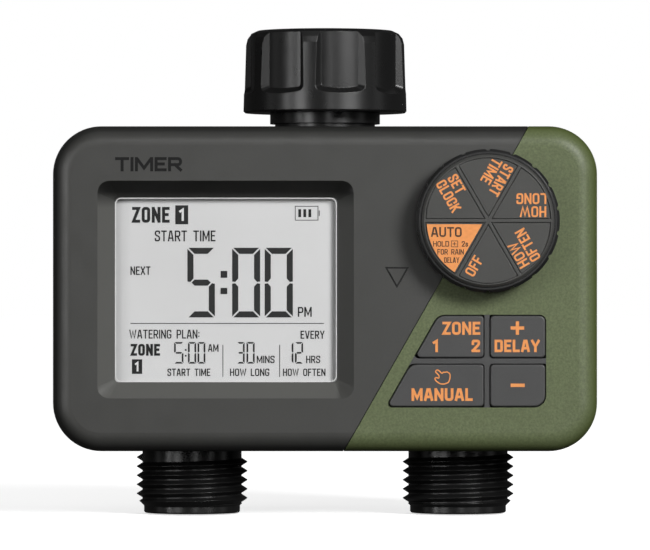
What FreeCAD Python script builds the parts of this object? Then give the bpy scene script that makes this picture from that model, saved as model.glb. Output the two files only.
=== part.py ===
import FreeCAD, Part
import math
import os

import Sketcher

# Two-outlet watering timer for a garden tap, in millimetres.
# +X is right, +Y is back and +Z is up. The display, dial and buttons face -Y.
# Every piece is laid out with z measured from the middle of the housing. Its
# Placement then hangs it from the centre of the inlet nut's mouth, which is the
# origin, so the whole timer reaches down from there.

os.makedirs("parts", exist_ok=True)
doc = FreeCAD.newDocument("watering_timer")
Vector = FreeCAD.Vector

SIZES = (
    # housing
    ("housing_width", 130.6),
    ("housing_height", 78.0),
    ("front_depth", 26.0),
    ("rear_depth", 26.0),
    ("corner_radius", 11.6),
    ("front_rounding", 4.6),
    ("rear_rounding", 3.0),
    ("wall_thickness", 2.4),
    ("trim_thickness", 1.2),
    ("fit_gap", 0.1),
    ("seam_middle", 26.5),
    ("seam_slope", 0.569),
    ("seam_gap", 0.2),
    ("cover_screw_x", 57.0),
    ("cover_screw_z", 31.0),
    # water ports: three-quarter inch garden hose thread
    ("mouth_height", 62.8),
    ("nut_bottom", 42.8),
    ("nut_radius", 19.9),
    ("nut_pocket_floor", 18.1),
    ("nut_pillar_turn", -11.0),
    ("neck_radius", 12.2),
    ("outlet_spacing", 32.45),
    ("outlet_end", -54.6),
    ("thread_crest", 13.5),
    ("thread_root", 12.1),
    ("thread_pitch", 2.209),
    ("pilot_radius", 11.7),
    ("spigot_bore", 8.5),
    ("pipe_radius", 6.2),
    ("pipe_bore", 4.6),
    ("socket_bore", 7.4),
    ("gallery_height", 26.0),
    ("gallery_radius", 8.2),
    ("gallery_bore", 6.0),
    # valves and solenoids
    ("valve_height", 2.0),
    ("chamber_radius", 13.0),
    ("chamber_bore", 11.0),
    ("seat_radius", 7.0),
    ("seat_bore", 5.0),
    ("seat_face", 8.5),
    ("diaphragm_thickness", 1.2),
    ("ear_circle", 15.3),
    ("plunger_radius", 2.9),
    ("coil_radius", 8.6),
    # display
    ("bezel_left", -54.5),
    ("bezel_right", 6.9),
    ("bezel_bottom", -26.3),
    ("bezel_top", 25.9),
    ("window_left", -50.4),
    ("window_right", 2.9),
    ("window_bottom", -22.4),
    ("window_top", 21.9),
    ("window_depth", 3.5),
    # dial
    ("dial_x", 38.8),
    ("dial_z", 16.2),
    ("dial_radius", 17.1),
    ("dial_face_radius", 15.8),
    ("dial_front", -34.0),
    ("dial_spoke_width", 0.7),
    ("shaft_radius", 3.2),
    # keypad
    ("keypad_top", -6.2),
    ("keypad_bottom", -28.4),
    ("keypad_right", 52.9),
    ("keypad_from_seam", 4.0),
    ("button_gap", 0.25),
    ("bar_left", 38.2),
    ("bar_right", 39.3),
    ("bar_top", -16.7),
    ("bar_bottom", -17.85),
    ("cap_front", -26.6),
    # circuit board and battery
    ("board_front", -15.0),
    ("board_back", -13.4),
    ("cell_radius", 7.1),
    ("cell_length", 50.5),
    ("box_half_width", 16.0),
    ("box_front", 7.0),
    ("box_bottom", -36.4),
    ("box_top", 20.6),
)

sheet = doc.addObject("Spreadsheet::Sheet", "Sizes")
for row, (alias, value) in enumerate(SIZES, start=1):
    sheet.set(f"A{row}", alias)
    sheet.set(f"B{row}", str(value))
    sheet.setAlias(f"B{row}", alias)
doc.recompute()


class Size:
    """A length that knows its value and the spreadsheet formula behind it."""

    def __init__(self, value, formula=None):
        self.value = value
        self.formula = formula if formula else f"({value})"

    def __add__(self, other):
        other = as_size(other)
        return Size(self.value + other.value, f"({self.formula} + {other.formula})")

    def __sub__(self, other):
        other = as_size(other)
        return Size(self.value - other.value, f"({self.formula} - {other.formula})")

    def __mul__(self, other):
        other = as_size(other)
        return Size(self.value * other.value, f"({self.formula} * {other.formula})")

    def __truediv__(self, other):
        other = as_size(other)
        return Size(self.value / other.value, f"({self.formula} / {other.formula})")

    def __neg__(self):
        return Size(-self.value, f"(0 - {self.formula})")

    def __radd__(self, other):
        return as_size(other) + self

    def __rsub__(self, other):
        return as_size(other) - self

    def __rmul__(self, other):
        return as_size(other) * self


def as_size(number):
    return number if isinstance(number, Size) else Size(float(number))


class Sheet:
    """Gives each named cell of the spreadsheet as a Size."""

    def __getattr__(self, alias):
        return Size(float(sheet.get(alias)), f"Sizes.{alias}")


s = Sheet()
AXIS_TURN = {
    "Z": FreeCAD.Rotation(),
    "Y": FreeCAD.Rotation(Vector(1, 0, 0), -90),
    "X": FreeCAD.Rotation(Vector(0, 1, 0), 90),
}
positions = {}
nodes = []


def bind(thing, name, size):
    thing.setExpression(name, as_size(size).formula)


def put(thing, x, y, z):
    """Bind where a piece stands, measured from the middle of the housing."""
    positions[thing.Name] = (x, y, z)
    for axis, size in zip("xyz", (x, y, z)):
        bind(thing, f"Placement.Base.{axis}", size)
    return thing


def deliver(label, thing):
    """Name a finished piece and hang it from the inlet mouth."""
    x, y, z = positions.get(thing.Name, (0, 0, 0))
    put(thing, x, y, z - s.mouth_height)
    thing.Label = label
    nodes.append(thing)
    return thing


# ---- primitives ---------------------------------------------------------

def brick(name, x, y, z):
    """A block between pairs of coordinates along X, Y and Z."""
    block = doc.addObject("Part::Box", name)
    put(block, x[0], y[0], z[0])
    for side, (low, high) in zip(("Length", "Width", "Height"), (x, y, z)):
        bind(block, side, as_size(high) - low)
    return block


def rod(name, axis, radius, centre, span):
    """A cylinder along an axis; centre gives the other two coordinates in order."""
    cylinder = doc.addObject("Part::Cylinder", name)
    cylinder.Placement = FreeCAD.Placement(Vector(), AXIS_TURN[axis])
    bind(cylinder, "Radius", radius)
    bind(cylinder, "Height", as_size(span[1]) - span[0])
    base = list(centre)
    base.insert("XYZ".index(axis), span[0])
    return put(cylinder, *base)


def ring(name, axis, radius, section, centre):
    """A torus about an axis, such as an O-ring."""
    torus = doc.addObject("Part::Torus", name)
    torus.Placement = FreeCAD.Placement(Vector(), AXIS_TURN[axis])
    bind(torus, "Radius1", radius)
    bind(torus, "Radius2", section)
    return put(torus, *centre)


def frustum(name, x, y, z, far_x, far_z):
    """A block along Y whose far end has its own width and height."""
    wedge = doc.addObject("Part::Wedge", name)
    names = ("Xmin", "Xmax", "Ymin", "Ymax", "Zmin", "Zmax", "X2min", "X2max", "Z2min", "Z2max")
    for side, size in zip(names, (*x, *y, *z, *far_x, *far_z)):
        bind(wedge, side, size)
    return wedge


def eased(name, base, front_radius, far_radius, top):
    """Rounds a frustum's slanted edges that start below a level, tapering the radius."""
    doc.recompute()
    slanted = [
        (index + 1, front_radius, far_radius)
        for index, edge in enumerate(base.Shape.Edges)
        if abs(edge.Vertexes[0].Point.y - edge.Vertexes[1].Point.y) > 1
        and edge.Vertexes[0].Point.z < top
    ]
    made = doc.addObject("Part::Fillet", name)
    made.Base = base
    made.Edges = slanted
    return made


def join(name, *pieces):
    fusion = doc.addObject("Part::MultiFuse", name)
    fusion.Shapes = pieces
    fusion.Refine = True
    return fusion


def overlap(name, *pieces):
    common = doc.addObject("Part::MultiCommon", name)
    common.Shapes = pieces
    return common


def gather(name, *pieces):
    """Several separate solids kept as one piece, such as a set of screws."""
    group = doc.addObject("Part::Compound", name)
    group.Links = pieces
    return group


def cut(name, base, *tools):
    """Take tools away from base."""
    removal = doc.addObject("Part::Cut", name)
    removal.Base = base
    removal.Tool = tools[0] if len(tools) == 1 else join(f"{name}_tools", *tools)
    removal.Refine = True
    return removal


# ---- sketched bodies ----------------------------------------------------

def sketch_on(body, plane, offset, name):
    profile = body.newObject("Sketcher::SketchObject", name)
    plane_of_body = next(o for o in body.Origin.OriginFeatures if o.Role == f"{plane}_Plane")
    profile.AttachmentSupport = [(plane_of_body, "")]
    profile.MapMode = "FlatFace"
    bind(profile, "AttachmentOffset.Base.z", offset)
    return profile


def closed_outline(profile, points):
    """Draw a polygon and tie each corner to the sketch origin."""
    corners = [Vector(as_size(a).value, as_size(b).value, 0) for a, b in points]
    count = len(corners)
    for i in range(count):
        profile.addGeometry(Part.LineSegment(corners[i], corners[(i + 1) % count]), False)
    for i in range(count):
        profile.addConstraint(Sketcher.Constraint("Coincident", i, 2, (i + 1) % count, 1))
    for i, point in enumerate(points):
        for kind, size in zip(("DistanceX", "DistanceY"), point):
            size = as_size(size)
            number = profile.addConstraint(Sketcher.Constraint(kind, -1, 1, i, 1, size.value))
            bind(profile, f"Constraints[{number}]", size)


def turned(name, axis, points):
    """A body of revolution from (radius, height) corners about Y or Z."""
    body = doc.addObject("PartDesign::Body", name)
    profile = sketch_on(body, {"Y": "XY", "Z": "XZ"}[axis], 0, f"{name}_profile")
    closed_outline(profile, points)
    turning = body.newObject("PartDesign::Revolution", f"{name}_turning")
    turning.Profile = profile
    turning.ReferenceAxis = (profile, ["V_Axis"])
    turning.Angle = 360
    return body


def grooved(body, name, points):
    """Turn a groove into a body of revolution about Z."""
    profile = sketch_on(body, "XZ", 0, f"{name}_profile")
    closed_outline(profile, points)
    groove = body.newObject("PartDesign::Groove", name)
    groove.Profile = profile
    groove.ReferenceAxis = (profile, ["V_Axis"])
    groove.Angle = 360
    return body


def thread_ridge(body, name, base, tip, start, length):
    """Wind a right-hand ridge with a V section about the body's Z axis."""
    flat = 0.06
    half = s.thread_pitch / 2 - 0.05
    profile = sketch_on(body, "XZ", 0, f"{name}_section")
    closed_outline(
        profile,
        ((base, start - half), (tip, start - flat), (tip, start + flat), (base, start + half)),
    )
    ridge = body.newObject("PartDesign::AdditiveHelix", name)
    ridge.Profile = profile
    ridge.ReferenceAxis = (profile, ["V_Axis"])
    ridge.Mode = 0
    bind(ridge, "Pitch", s.thread_pitch)
    bind(ridge, "Height", length)
    return body


def wound(name, radius, wire, pitch, height):
    """A round-wire compression spring about the body's Z axis."""
    body = doc.addObject("PartDesign::Body", name)
    profile = sketch_on(body, "XZ", 0, f"{name}_wire")
    profile.addGeometry(Part.Circle(Vector(radius, wire, 0), Vector(0, 0, 1), wire), False)
    sizes = (
        ("DistanceX", (-1, 1, 0, 3), radius),
        ("DistanceY", (-1, 1, 0, 3), wire),
        ("Radius", (0,), wire),
    )
    for kind, where, size in sizes:
        number = profile.addConstraint(Sketcher.Constraint(kind, *where, size))
        bind(profile, f"Constraints[{number}]", size)
    coils = body.newObject("PartDesign::AdditiveHelix", f"{name}_coils")
    coils.Profile = profile
    coils.ReferenceAxis = (profile, ["V_Axis"])
    coils.Mode = 0
    bind(coils, "Pitch", pitch)
    bind(coils, "Height", height)
    return body


def prism(name, plane, points, span):
    """A body with a polygon section; corners are (a, b) or (a, b, rounding)."""
    body = doc.addObject("PartDesign::Body", name)
    low, high = (as_size(end) for end in span)
    offset = -high if plane == "XZ" else low
    profile = sketch_on(body, plane, offset, f"{name}_profile")
    closed_outline(profile, [point[:2] for point in points])
    pad = body.newObject("PartDesign::Pad", f"{name}_pad")
    pad.Profile = profile
    bind(pad, "Length", high - low)
    doc.recompute()
    across = {"XZ": (0, 2), "XY": (0, 1), "YZ": (1, 2)}[plane]
    roundings = {}
    for point in points:
        if len(point) == 3:
            roundings.setdefault(as_size(point[2]).formula, []).append(point)
    for number, group in enumerate(roundings.values()):
        feature = body.Tip
        edges = [
            f"Edge{index + 1}"
            for index, edge in enumerate(feature.Shape.Edges)
            if any(runs_through(edge, across, point) for point in group)
        ]
        round_edges(body, f"{name}_corner_{number}", edges, group[0][2])
    return body


def runs_through(edge, across, point):
    """Whether a straight edge stands on a corner of the section."""
    if len(edge.Vertexes) != 2:
        return False
    ends = [edge.Vertexes[0].Point, edge.Vertexes[1].Point]
    return all(
        abs(end[axis] - as_size(size).value) < 1e-4
        for end in ends
        for axis, size in zip(across, point)
    )


def round_edges(body, name, edges, radius):
    feature = body.Tip
    fillet = body.newObject("PartDesign::Fillet", name)
    fillet.Base = (feature, edges)
    bind(fillet, "Radius", radius)
    doc.recompute()
    return body


def edges_at(shape, axis, level):
    """Names of the edges that lie wholly at one coordinate."""
    return [
        f"Edge{index + 1}"
        for index, edge in enumerate(shape.Edges)
        if all(abs(end.Point[axis] - level) < 1e-4 for end in edge.Vertexes)
        and abs(edge.BoundBox.Center[axis] - level) < 1e-4
    ]


def rounded_rectangle(half_width, half_height, radius):
    return (
        (-half_width, -half_height, radius),
        (half_width, -half_height, radius),
        (half_width, half_height, radius),
        (-half_width, half_height, radius),
    )


def frame_outline(left, right, bottom, top, radius):
    return (
        (left, bottom, radius),
        (right, bottom, radius),
        (right, top, radius),
        (left, top, radius),
    )


def housing_block(name, inset, front, back, rounding, rounded_end):
    """The housing's outline, drawn in by an inset and rounded at one end."""
    outline = rounded_rectangle(
        s.housing_width / 2 - inset, s.housing_height / 2 - inset, s.corner_radius - inset
    )
    body = prism(name, "XZ", outline, (front, back))
    level = as_size(front if rounded_end == "front" else back).value
    return round_edges(body, f"{name}_rounding", edges_at(body.Shape, 1, level), rounding)


def seam_x(z):
    return s.seam_middle + s.seam_slope * z


# ---- housing ------------------------------------------------------------

def trim_region(name, gap):
    """Everything to the right of the slanting seam."""
    top, bottom, right = 45, -45, 70
    return prism(
        name,
        "XZ",
        (
            (seam_x(bottom) + gap, bottom),
            (right, bottom),
            (right, top),
            (seam_x(top) + gap, top),
        ),
        (-30, 1),
    )


SCREW_CORNERS = tuple((x, z) for x in (-1, 1) for z in (-1, 1))
BOARD_POSTS = ((-45.0, 31.5), (-45.0, -31.5), (14.0, 31.5), (46.0, -31.8))


def port_holes(name, clearance):
    """Round ways through the housing for the inlet neck and both spigots."""
    neck = rod(f"{name}_neck", "Z", s.neck_radius + clearance, (0, 0), (30, 45))
    outlets = [
        rod(f"{name}_outlet_{side}", "Z", s.neck_radius + clearance - 0.2, (x, 0), (-45, -30))
        for side, x in (("left", -s.outlet_spacing), ("right", s.outlet_spacing))
    ]
    return join(name, neck, *outlets)


def keypad_outline(inset):
    """The slanted keypad opening, drawn in by an inset."""
    top = s.keypad_top - inset
    bottom = s.keypad_bottom + inset
    left = s.keypad_from_seam + inset * 1.15
    return (
        (seam_x(bottom) + left, bottom, 1.0),
        (s.keypad_right - inset, bottom, 2.9),
        (s.keypad_right - inset, top, 1.6),
        (seam_x(top) + left, top, 3.0),
    )


def housing():
    wall = s.wall_thickness
    trim = s.trim_thickness
    front = -s.front_depth
    holes = port_holes("port_holes", 0.2)
    outer = housing_block("front_outer", 0, front, 0, s.front_rounding, "front")
    cavity = housing_block(
        "front_cavity", wall, front + wall, 1, s.front_rounding - wall, "front"
    )
    under_trim = housing_block(
        "under_trim", trim + s.fit_gap, front + trim, 1, s.front_rounding - trim, "front"
    )
    trim_inside = housing_block(
        "trim_inside", trim, front + trim, 1, s.front_rounding - trim, "front"
    )
    keypad_hole = prism("keypad_hole", "XZ", keypad_outline(0), (-30, -20))
    dial_centre = (s.dial_x, s.dial_z)
    seal_hole = rod("dial_seal_hole", "Y", 5.35, dial_centre, (-30, front + trim))
    shaft_hole = rod("dial_shaft_hole", "Y", s.shaft_radius + s.fit_gap, dial_centre, (-30, -20))

    window = frustum(
        "window_opening",
        (s.bezel_left, s.bezel_right),
        (front, front + s.window_depth),
        (s.bezel_bottom, s.bezel_top),
        (s.window_left, s.window_right),
        (s.window_bottom, s.window_top),
    )
    bezel = eased("bezel_opening", window, 5.2, 1.6, s.window_top.value + 10)

    lens_frame = prism("lens_frame", "XZ", frame_outline(-56.6, 9.0, -28.4, 28.0, 3.0), (-24.5, -20.7))
    lens_pocket = prism(
        "lens_pocket", "XZ", frame_outline(-53.0, 5.5, -25.0, 24.5, 2.0), (-22.5, -20.0)
    )
    bosses = [
        rod(f"front_boss_{i}", "Y", 4.2, (s.cover_screw_x * x, s.cover_screw_z * z), (-24.5, 0))
        for i, (x, z) in enumerate(SCREW_CORNERS)
    ]
    boss_bores = [
        rod(f"front_bore_{i}", "Y", 1.5, (s.cover_screw_x * x, s.cover_screw_z * z), (-18, 1))
        for i, (x, z) in enumerate(SCREW_CORNERS)
    ]
    posts = [
        rod(f"board_post_{i}", "Y", 2.2, (x, z), (-24.5, s.board_front))
        for i, (x, z) in enumerate(BOARD_POSTS)
    ]
    post_bores = [
        rod(f"board_bore_{i}", "Y", 1.0, (x, z), (-21, s.board_front + 1))
        for i, (x, z) in enumerate(BOARD_POSTS)
    ]
    inner_fittings = overlap(
        "front_fittings", join("front_inside", lens_frame, *bosses, *posts), outer
    )
    shell = join("front_shell", cut("front_wall", outer, cavity), inner_fittings)
    outer_layer = overlap(
        "trim_layer", trim_region("beyond_seam", 0), cut("outer_skin", outer, under_trim)
    )
    marker = prism(
        "marker_groove", "XZ", ((14.3, 5.2), (17.2, 0.1), (20.1, 5.2)), (-27, front + 0.3)
    )
    marker_core = prism(
        "marker_core", "XZ", ((15.0, 4.8), (17.2, 0.93), (19.4, 4.8)), (-28, front + 1)
    )
    front_cover = cut(
        "front_cover_part",
        shell,
        outer_layer,
        cut("marker", marker, marker_core),
        holes,
        bezel,
        lens_pocket,
        keypad_hole,
        seal_hole,
        shaft_hole,
        *boss_bores,
        *post_bores,
    )
    deliver("front_cover", front_cover)

    skin = overlap(
        "trim_skin", trim_region("trim_side", s.seam_gap), cut("trim_shell", outer, trim_inside)
    )
    deliver("green_trim", cut("green_trim_part", skin, holes, keypad_hole, seal_hole))
    return holes


def rear_housing(holes):
    wall = s.wall_thickness
    back = s.rear_depth
    outer = housing_block("rear_outer", 0, 0, back, s.rear_rounding, "back")
    cavity = housing_block("rear_cavity", wall, -1, back - wall, 1.5, "back")
    bosses = []
    tools = [holes]
    for i, (x, z) in enumerate(SCREW_CORNERS):
        centre = (s.cover_screw_x * x, s.cover_screw_z * z)
        bosses.append(rod(f"rear_boss_{i}", "Y", 4.6, centre, (0, back - 1)))
        tools.append(rod(f"rear_bore_{i}", "Y", 1.65, centre, (-1, back)))
        tools.append(rod(f"rear_counterbore_{i}", "Y", 3.4, centre, (12, back + 1)))
    seal_outer = housing_block("seal_outer", 1.4, 0, 0.8, 0.1, "back")
    seal_inner = housing_block("seal_inner", 2.2, -1, 1, 0.1, "back")
    groove = cut("seal_groove", seal_outer, seal_inner)
    door_recess = prism(
        "door_recess", "XZ", frame_outline(-17.3, 17.3, -36.1, 20.9, 2.0), (back - 1.2, back + 1)
    )
    door_way = prism(
        "door_way", "XZ", frame_outline(-14.6, 14.6, -34.1, 18.5, 1.0), (back - wall - 1, back)
    )
    shell = join("rear_shell", cut("rear_wall", outer, cavity), *bosses)
    rear_cover = cut("rear_cover_part", shell, *tools, groove, door_recess, door_way)
    deliver("rear_cover", rear_cover)
    cover_seal = cut("cover_seal_part", groove, port_holes("seal_gaps", 1.9))
    deliver("cover_seal", cover_seal)

    screws = []
    for i, (x, z) in enumerate(SCREW_CORNERS):
        screw = turned(
            f"cover_screw_{i}",
            "Y",
            ((0, -15.0), (1.4, -13.5), (1.4, 12.0), (3.0, 12.0), (3.0, 13.4), (2.2, 14.2), (0, 14.2)),
        )
        slot = brick(f"cover_screw_slot_{i}", (-0.4, 0.4), (13.4, 15.0), (-2.4, 2.4))
        cross = brick(f"cover_screw_cross_{i}", (-2.4, 2.4), (13.4, 15.0), (-0.4, 0.4))
        piece = cut(f"cover_screw_cut_{i}", screw, slot, cross)
        screws.append(put(piece, s.cover_screw_x * x, 0, s.cover_screw_z * z))
    deliver("cover_screws", gather("cover_screw_set", *screws))

    door_plate = prism(
        "door_plate", "XZ", frame_outline(-17.1, 17.1, -35.9, 20.7, 1.8), (back - 1.2, back)
    )
    door_plug = prism(
        "door_plug", "XZ", frame_outline(-13.4, 13.4, -32.9, 17.3, 1.0), (back - 3.4, back - 1.2)
    )
    grips = [
        brick(f"door_grip_{i}", (-8, 8), (back - 0.5, back + 1), (level, level + 1.2))
        for i, level in enumerate((-30.0, -27.6, -25.2))
    ]
    deliver("battery_door", cut("battery_door_part", join("door_body", door_plate, door_plug), *grips))
    seal_ring = prism(
        "door_seal_ring", "XZ", frame_outline(-14.4, 14.4, -33.9, 18.3, 0.9), (back - 2.4, back - 1.2)
    )
    seal_hole = prism(
        "door_seal_hole", "XZ", frame_outline(-13.5, 13.5, -33.0, 17.4, 0.9), (back - 3, back)
    )
    deliver("battery_door_seal", cut("door_seal_part", seal_ring, seal_hole))


# ---- display ------------------------------------------------------------

def display():
    lens = prism("lens_plate", "XZ", frame_outline(-52.9, 5.4, -24.9, 24.4, 1.8), (-22.3, -20.8))
    deliver("display_lens", lens)
    gasket = prism("gasket_plate", "XZ", frame_outline(-52.9, 5.4, -24.9, 24.4, 1.8), (-22.5, -22.3))
    gasket_hole = prism(
        "gasket_hole", "XZ", frame_outline(-51.0, 3.5, -23.0, 22.5, 1.0), (-23, -22)
    )
    deliver("lens_gasket", cut("lens_gasket_part", gasket, gasket_hole))
    glass_back = brick("glass_back", (-52.4, 4.9), (-19.5, -18.4), (-24.4, 23.9))
    glass_front = brick("glass_front", (-52.4, 4.9), (-20.6, -19.5), (-22.9, 22.4))
    deliver("lcd_glass", join("lcd_glass_part", glass_back, glass_front))
    deliver("lcd_reflector", brick("reflector", (-51.5, 4.0), (-18.4, -18.0), (-18.9, 18.4)))
    holder = prism("holder_block", "XZ", frame_outline(-55.0, 7.5, -27.0, 26.5, 2.0), (-20.6, -15.0))
    holder_way = brick("holder_way", (-52.6, 5.1), (-21, -14), (-24.6, 24.1))
    deliver("lcd_holder", cut("lcd_holder_part", holder, holder_way))
    strips = [
        brick(f"contact_strip_{name}", (-48.0, 0.5), (-18.4, -15.0), (low, low + 3.0))
        for name, low in (("top", 19.4), ("bottom", -22.9))
    ]
    deliver("contact_strips", gather("contact_strip_set", *strips))


# ---- circuit board ------------------------------------------------------

def circuit_board():
    board = prism(
        "board_plate", "XZ", frame_outline(-51.5, 51.5, -34.0, 34.0, 2.0), (s.board_front, s.board_back)
    )
    holes = [
        rod(f"board_hole_{i}", "Y", 1.1, (x, z), (-16, -12)) for i, (x, z) in enumerate(BOARD_POSTS)
    ]
    deliver("main_board", cut("main_board_part", board, *holes))
    screws = []
    for i, (x, z) in enumerate(BOARD_POSTS):
        head_seat = s.board_back
        screw = turned(
            f"board_screw_{i}",
            "Y",
            (
                (0, -20.0),
                (0.9, -19.2),
                (0.9, head_seat),
                (2.0, head_seat),
                (2.0, head_seat + 0.8),
                (1.3, head_seat + 1.4),
                (0, head_seat + 1.4),
            ),
        )
        screws.append(put(screw, x, 0, z))
    deliver("board_screws", gather("board_screw_set", *screws))
    back = s.board_back
    chips = [
        brick("controller_chip", (-26, -14), (back, back + 1.4), (-6, 6)),
        brick("driver_chip", (6, 12), (back, back + 1.4), (-4, 4)),
        brick("clock_crystal", (-10, -6), (back, back + 1.2), (4, 5.6)),
        brick("choke", (12, 18), (back, back + 3.0), (-16, -10)),
    ]
    chips += [
        rod(f"capacitor_{i}", "Y", 3.1, (x, z), (back, back + 4.2))
        for i, (x, z) in enumerate(((-4, -12), (4, -12)))
    ]
    deliver("board_components", gather("board_component_set", *chips))
    plugs = [
        brick(f"connector_{i}", (x - 4, x + 4), (back, back + 5.0), (-32.5, -28.5))
        for i, x in enumerate((-16, 0, 16))
    ]
    deliver("wire_connectors", gather("connector_set", *plugs))


# ---- dial ---------------------------------------------------------------

def dial():
    front = s.dial_front
    radius = s.dial_radius
    floor = front + 2.0
    knob = turned(
        "knob_turning",
        "Y",
        (
            (0, -17.0),
            (s.shaft_radius, -17.0),
            (s.shaft_radius, -27.6),
            (5.6, -27.6),
            (5.6, floor + 1.8),
            (radius - 1.9, floor + 1.8),
            (radius - 1.9, -26.3),
            (radius, -26.3),
            (radius, front + 1.7),
            (radius - 0.7, front + 1.0),
            (s.dial_face_radius + 0.1, front + 1.0),
            (s.dial_face_radius + 0.1, floor),
            (0, floor),
        ),
    )
    notches = []
    for i in range(18):
        turn = math.radians(90 + 20 * i)
        reach = radius + 0.15
        centre = (reach * math.cos(turn), reach * math.sin(turn))
        notches.append(rod(f"dial_notch_{i}", "Y", 0.6, centre, (-36, -24)))
    flat = brick("shaft_flat", (s.shaft_radius - 0.7, 5), (-22, -16), (-5, 5))
    knob = cut("dial_knob_part", knob, gather("dial_notches", *notches), flat)
    deliver("dial_knob", put(knob, s.dial_x, 0, s.dial_z))

    face = turned(
        "face_turning",
        "Y",
        (
            (0, floor),
            (s.dial_face_radius, floor),
            (s.dial_face_radius, front + 0.6),
            (s.dial_face_radius - 0.6, front),
            (0, front),
        ),
    )
    panels = []
    grooves = []
    for i in range(6):
        panels.append(dial_sector(f"dial_panel_{i}", i, s.dial_spoke_width, 0.75, 0.10))
        edge = dial_sector(f"dial_edge_{i}", i, s.dial_spoke_width, 0.75, 0.55)
        kept = dial_sector(f"dial_kept_{i}", i, s.dial_spoke_width + 0.5, 1.0, 0.0)
        grooves.append(cut(f"dial_groove_{i}", edge, kept))
    face = cut(
        "dial_face_part", face, gather("dial_panels", *panels), gather("dial_grooves", *grooves)
    )
    deliver("dial_face", put(face, s.dial_x, 0, s.dial_z))

    seal = ring("dial_seal", "Y", 4.3, 0.95, (s.dial_x, -24.8 - 0.95, s.dial_z))
    deliver("dial_seal_ring", seal)
    half = 6.8
    base = brick(
        "switch_block",
        (s.dial_x - half, s.dial_x + half),
        (-21.0, s.board_front),
        (s.dial_z - half, s.dial_z + half),
    )
    bore = rod("switch_bore", "Y", s.shaft_radius + s.fit_gap, (s.dial_x, s.dial_z), (-22, -16.6))
    deliver("rotary_switch", cut("rotary_switch_part", base, bore))


def dial_sector(name, index, shift, rim, depth):
    """One of six pie slices of the dial's face, set back from the spokes and the rim."""
    start = 60 * index
    middle = math.radians(start + 30)
    slice_ = doc.addObject("Part::Cylinder", name)
    slice_.Placement = FreeCAD.Placement(
        Vector(), FreeCAD.Rotation(Vector(0, 1, 0), -start) * FreeCAD.Rotation(Vector(1, 0, 0), 90)
    )
    slice_.Angle = 60
    slice_.Height = 2
    bind(slice_, "Radius", s.dial_face_radius - rim - shift)
    front = s.dial_front + depth if depth else s.dial_front + 1.5
    return put(slice_, shift * math.cos(middle), front, shift * math.sin(middle))


# ---- keypad -------------------------------------------------------------

def keypad():
    gap = s.button_gap
    left = s.keypad_from_seam + gap * 1.15
    top = s.keypad_top - gap
    bottom = s.keypad_bottom + gap
    right = s.keypad_right - gap
    upper = s.bar_top + gap
    lower = s.bar_bottom - gap
    inner_left = s.bar_left - gap
    inner_right = s.bar_right + gap
    small = 0.9
    outlines = {
        "zone_button": (
            (seam_x(upper) + left, upper, small),
            (inner_left, upper, small),
            (inner_left, top, small),
            (seam_x(top) + left, top, 2.8),
        ),
        "plus_button": (
            (inner_right, upper, small),
            (right, upper, small),
            (right, top, 1.4),
            (inner_right, top, small),
        ),
        "manual_button": (
            (seam_x(bottom) + left, bottom, small),
            (inner_left, bottom, small),
            (inner_left, lower, small),
            (seam_x(lower) + left, lower, 2.8),
        ),
        "minus_button": (
            (inner_right, bottom, small),
            (right, bottom, 2.7),
            (right, lower, small),
            (inner_right, lower, small),
        ),
    }
    contacts = {
        "zone_button": (31.5, -11.5),
        "plus_button": (46.1, -11.5),
        "manual_button": (28.0, -23.1),
        "minus_button": (46.1, -23.1),
    }
    for label, outline in outlines.items():
        cap = prism(f"{label}_cap", "XZ", outline, (s.cap_front, -23.6))
        round_edges(cap, f"{label}_edge", edges_at(cap.Shape, 1, s.cap_front.value), 0.35)
        deliver(label, cap)
    plate = prism("surround_plate", "XZ", keypad_outline(0), (-25.9, -24.1))
    openings = [cut_way(f"{label}_opening", outline) for label, outline in outlines.items()]
    deliver("button_surround", cut("button_surround_part", plate, gather("cap_openings", *openings)))

    sheet_plate = prism("membrane_sheet", "XZ", keypad_outline(-1.4), (-23.6, -22.8))
    pads = [
        rod(f"membrane_pad_{i}", "Y", 1.6, centre, (-22.9, -18.7))
        for i, centre in enumerate(contacts.values())
    ]
    deliver("keypad_membrane", join("keypad_membrane_part", sheet_plate, *pads))
    switches = []
    for i, (x, z) in enumerate(contacts.values()):
        body = brick(f"switch_body_{i}", (x - 3, x + 3), (-18.2, s.board_front), (z - 3, z + 3))
        stud = rod(f"switch_stud_{i}", "Y", 1.7, (x, z), (-18.6, -18.0))
        switches.append(join(f"push_switch_{i}", body, stud))
    deliver("push_switches", gather("push_switch_set", *switches))


def cut_way(name, outline):
    """The hole in the surround for one cap: close at the bars, open at the rim."""
    at_right = outline[1][0].value > s.bar_right.value
    at_top = outline[2][1].value > s.bar_top.value
    close = s.button_gap - 0.05
    wide = s.button_gap + 0.35
    right = wide if at_right else close
    left = -close if at_right else -wide
    above = wide if at_top else close
    below = -close if at_top else -wide
    grown = []
    for index, (x, z, radius) in enumerate(outline):
        sideways = right if index in (1, 2) else left
        upright = above if index in (2, 3) else below
        grown.append((x + sideways, z + upright, radius))
    return prism(name, "XZ", grown, (-27, -23))


# ---- water way ----------------------------------------------------------

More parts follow.
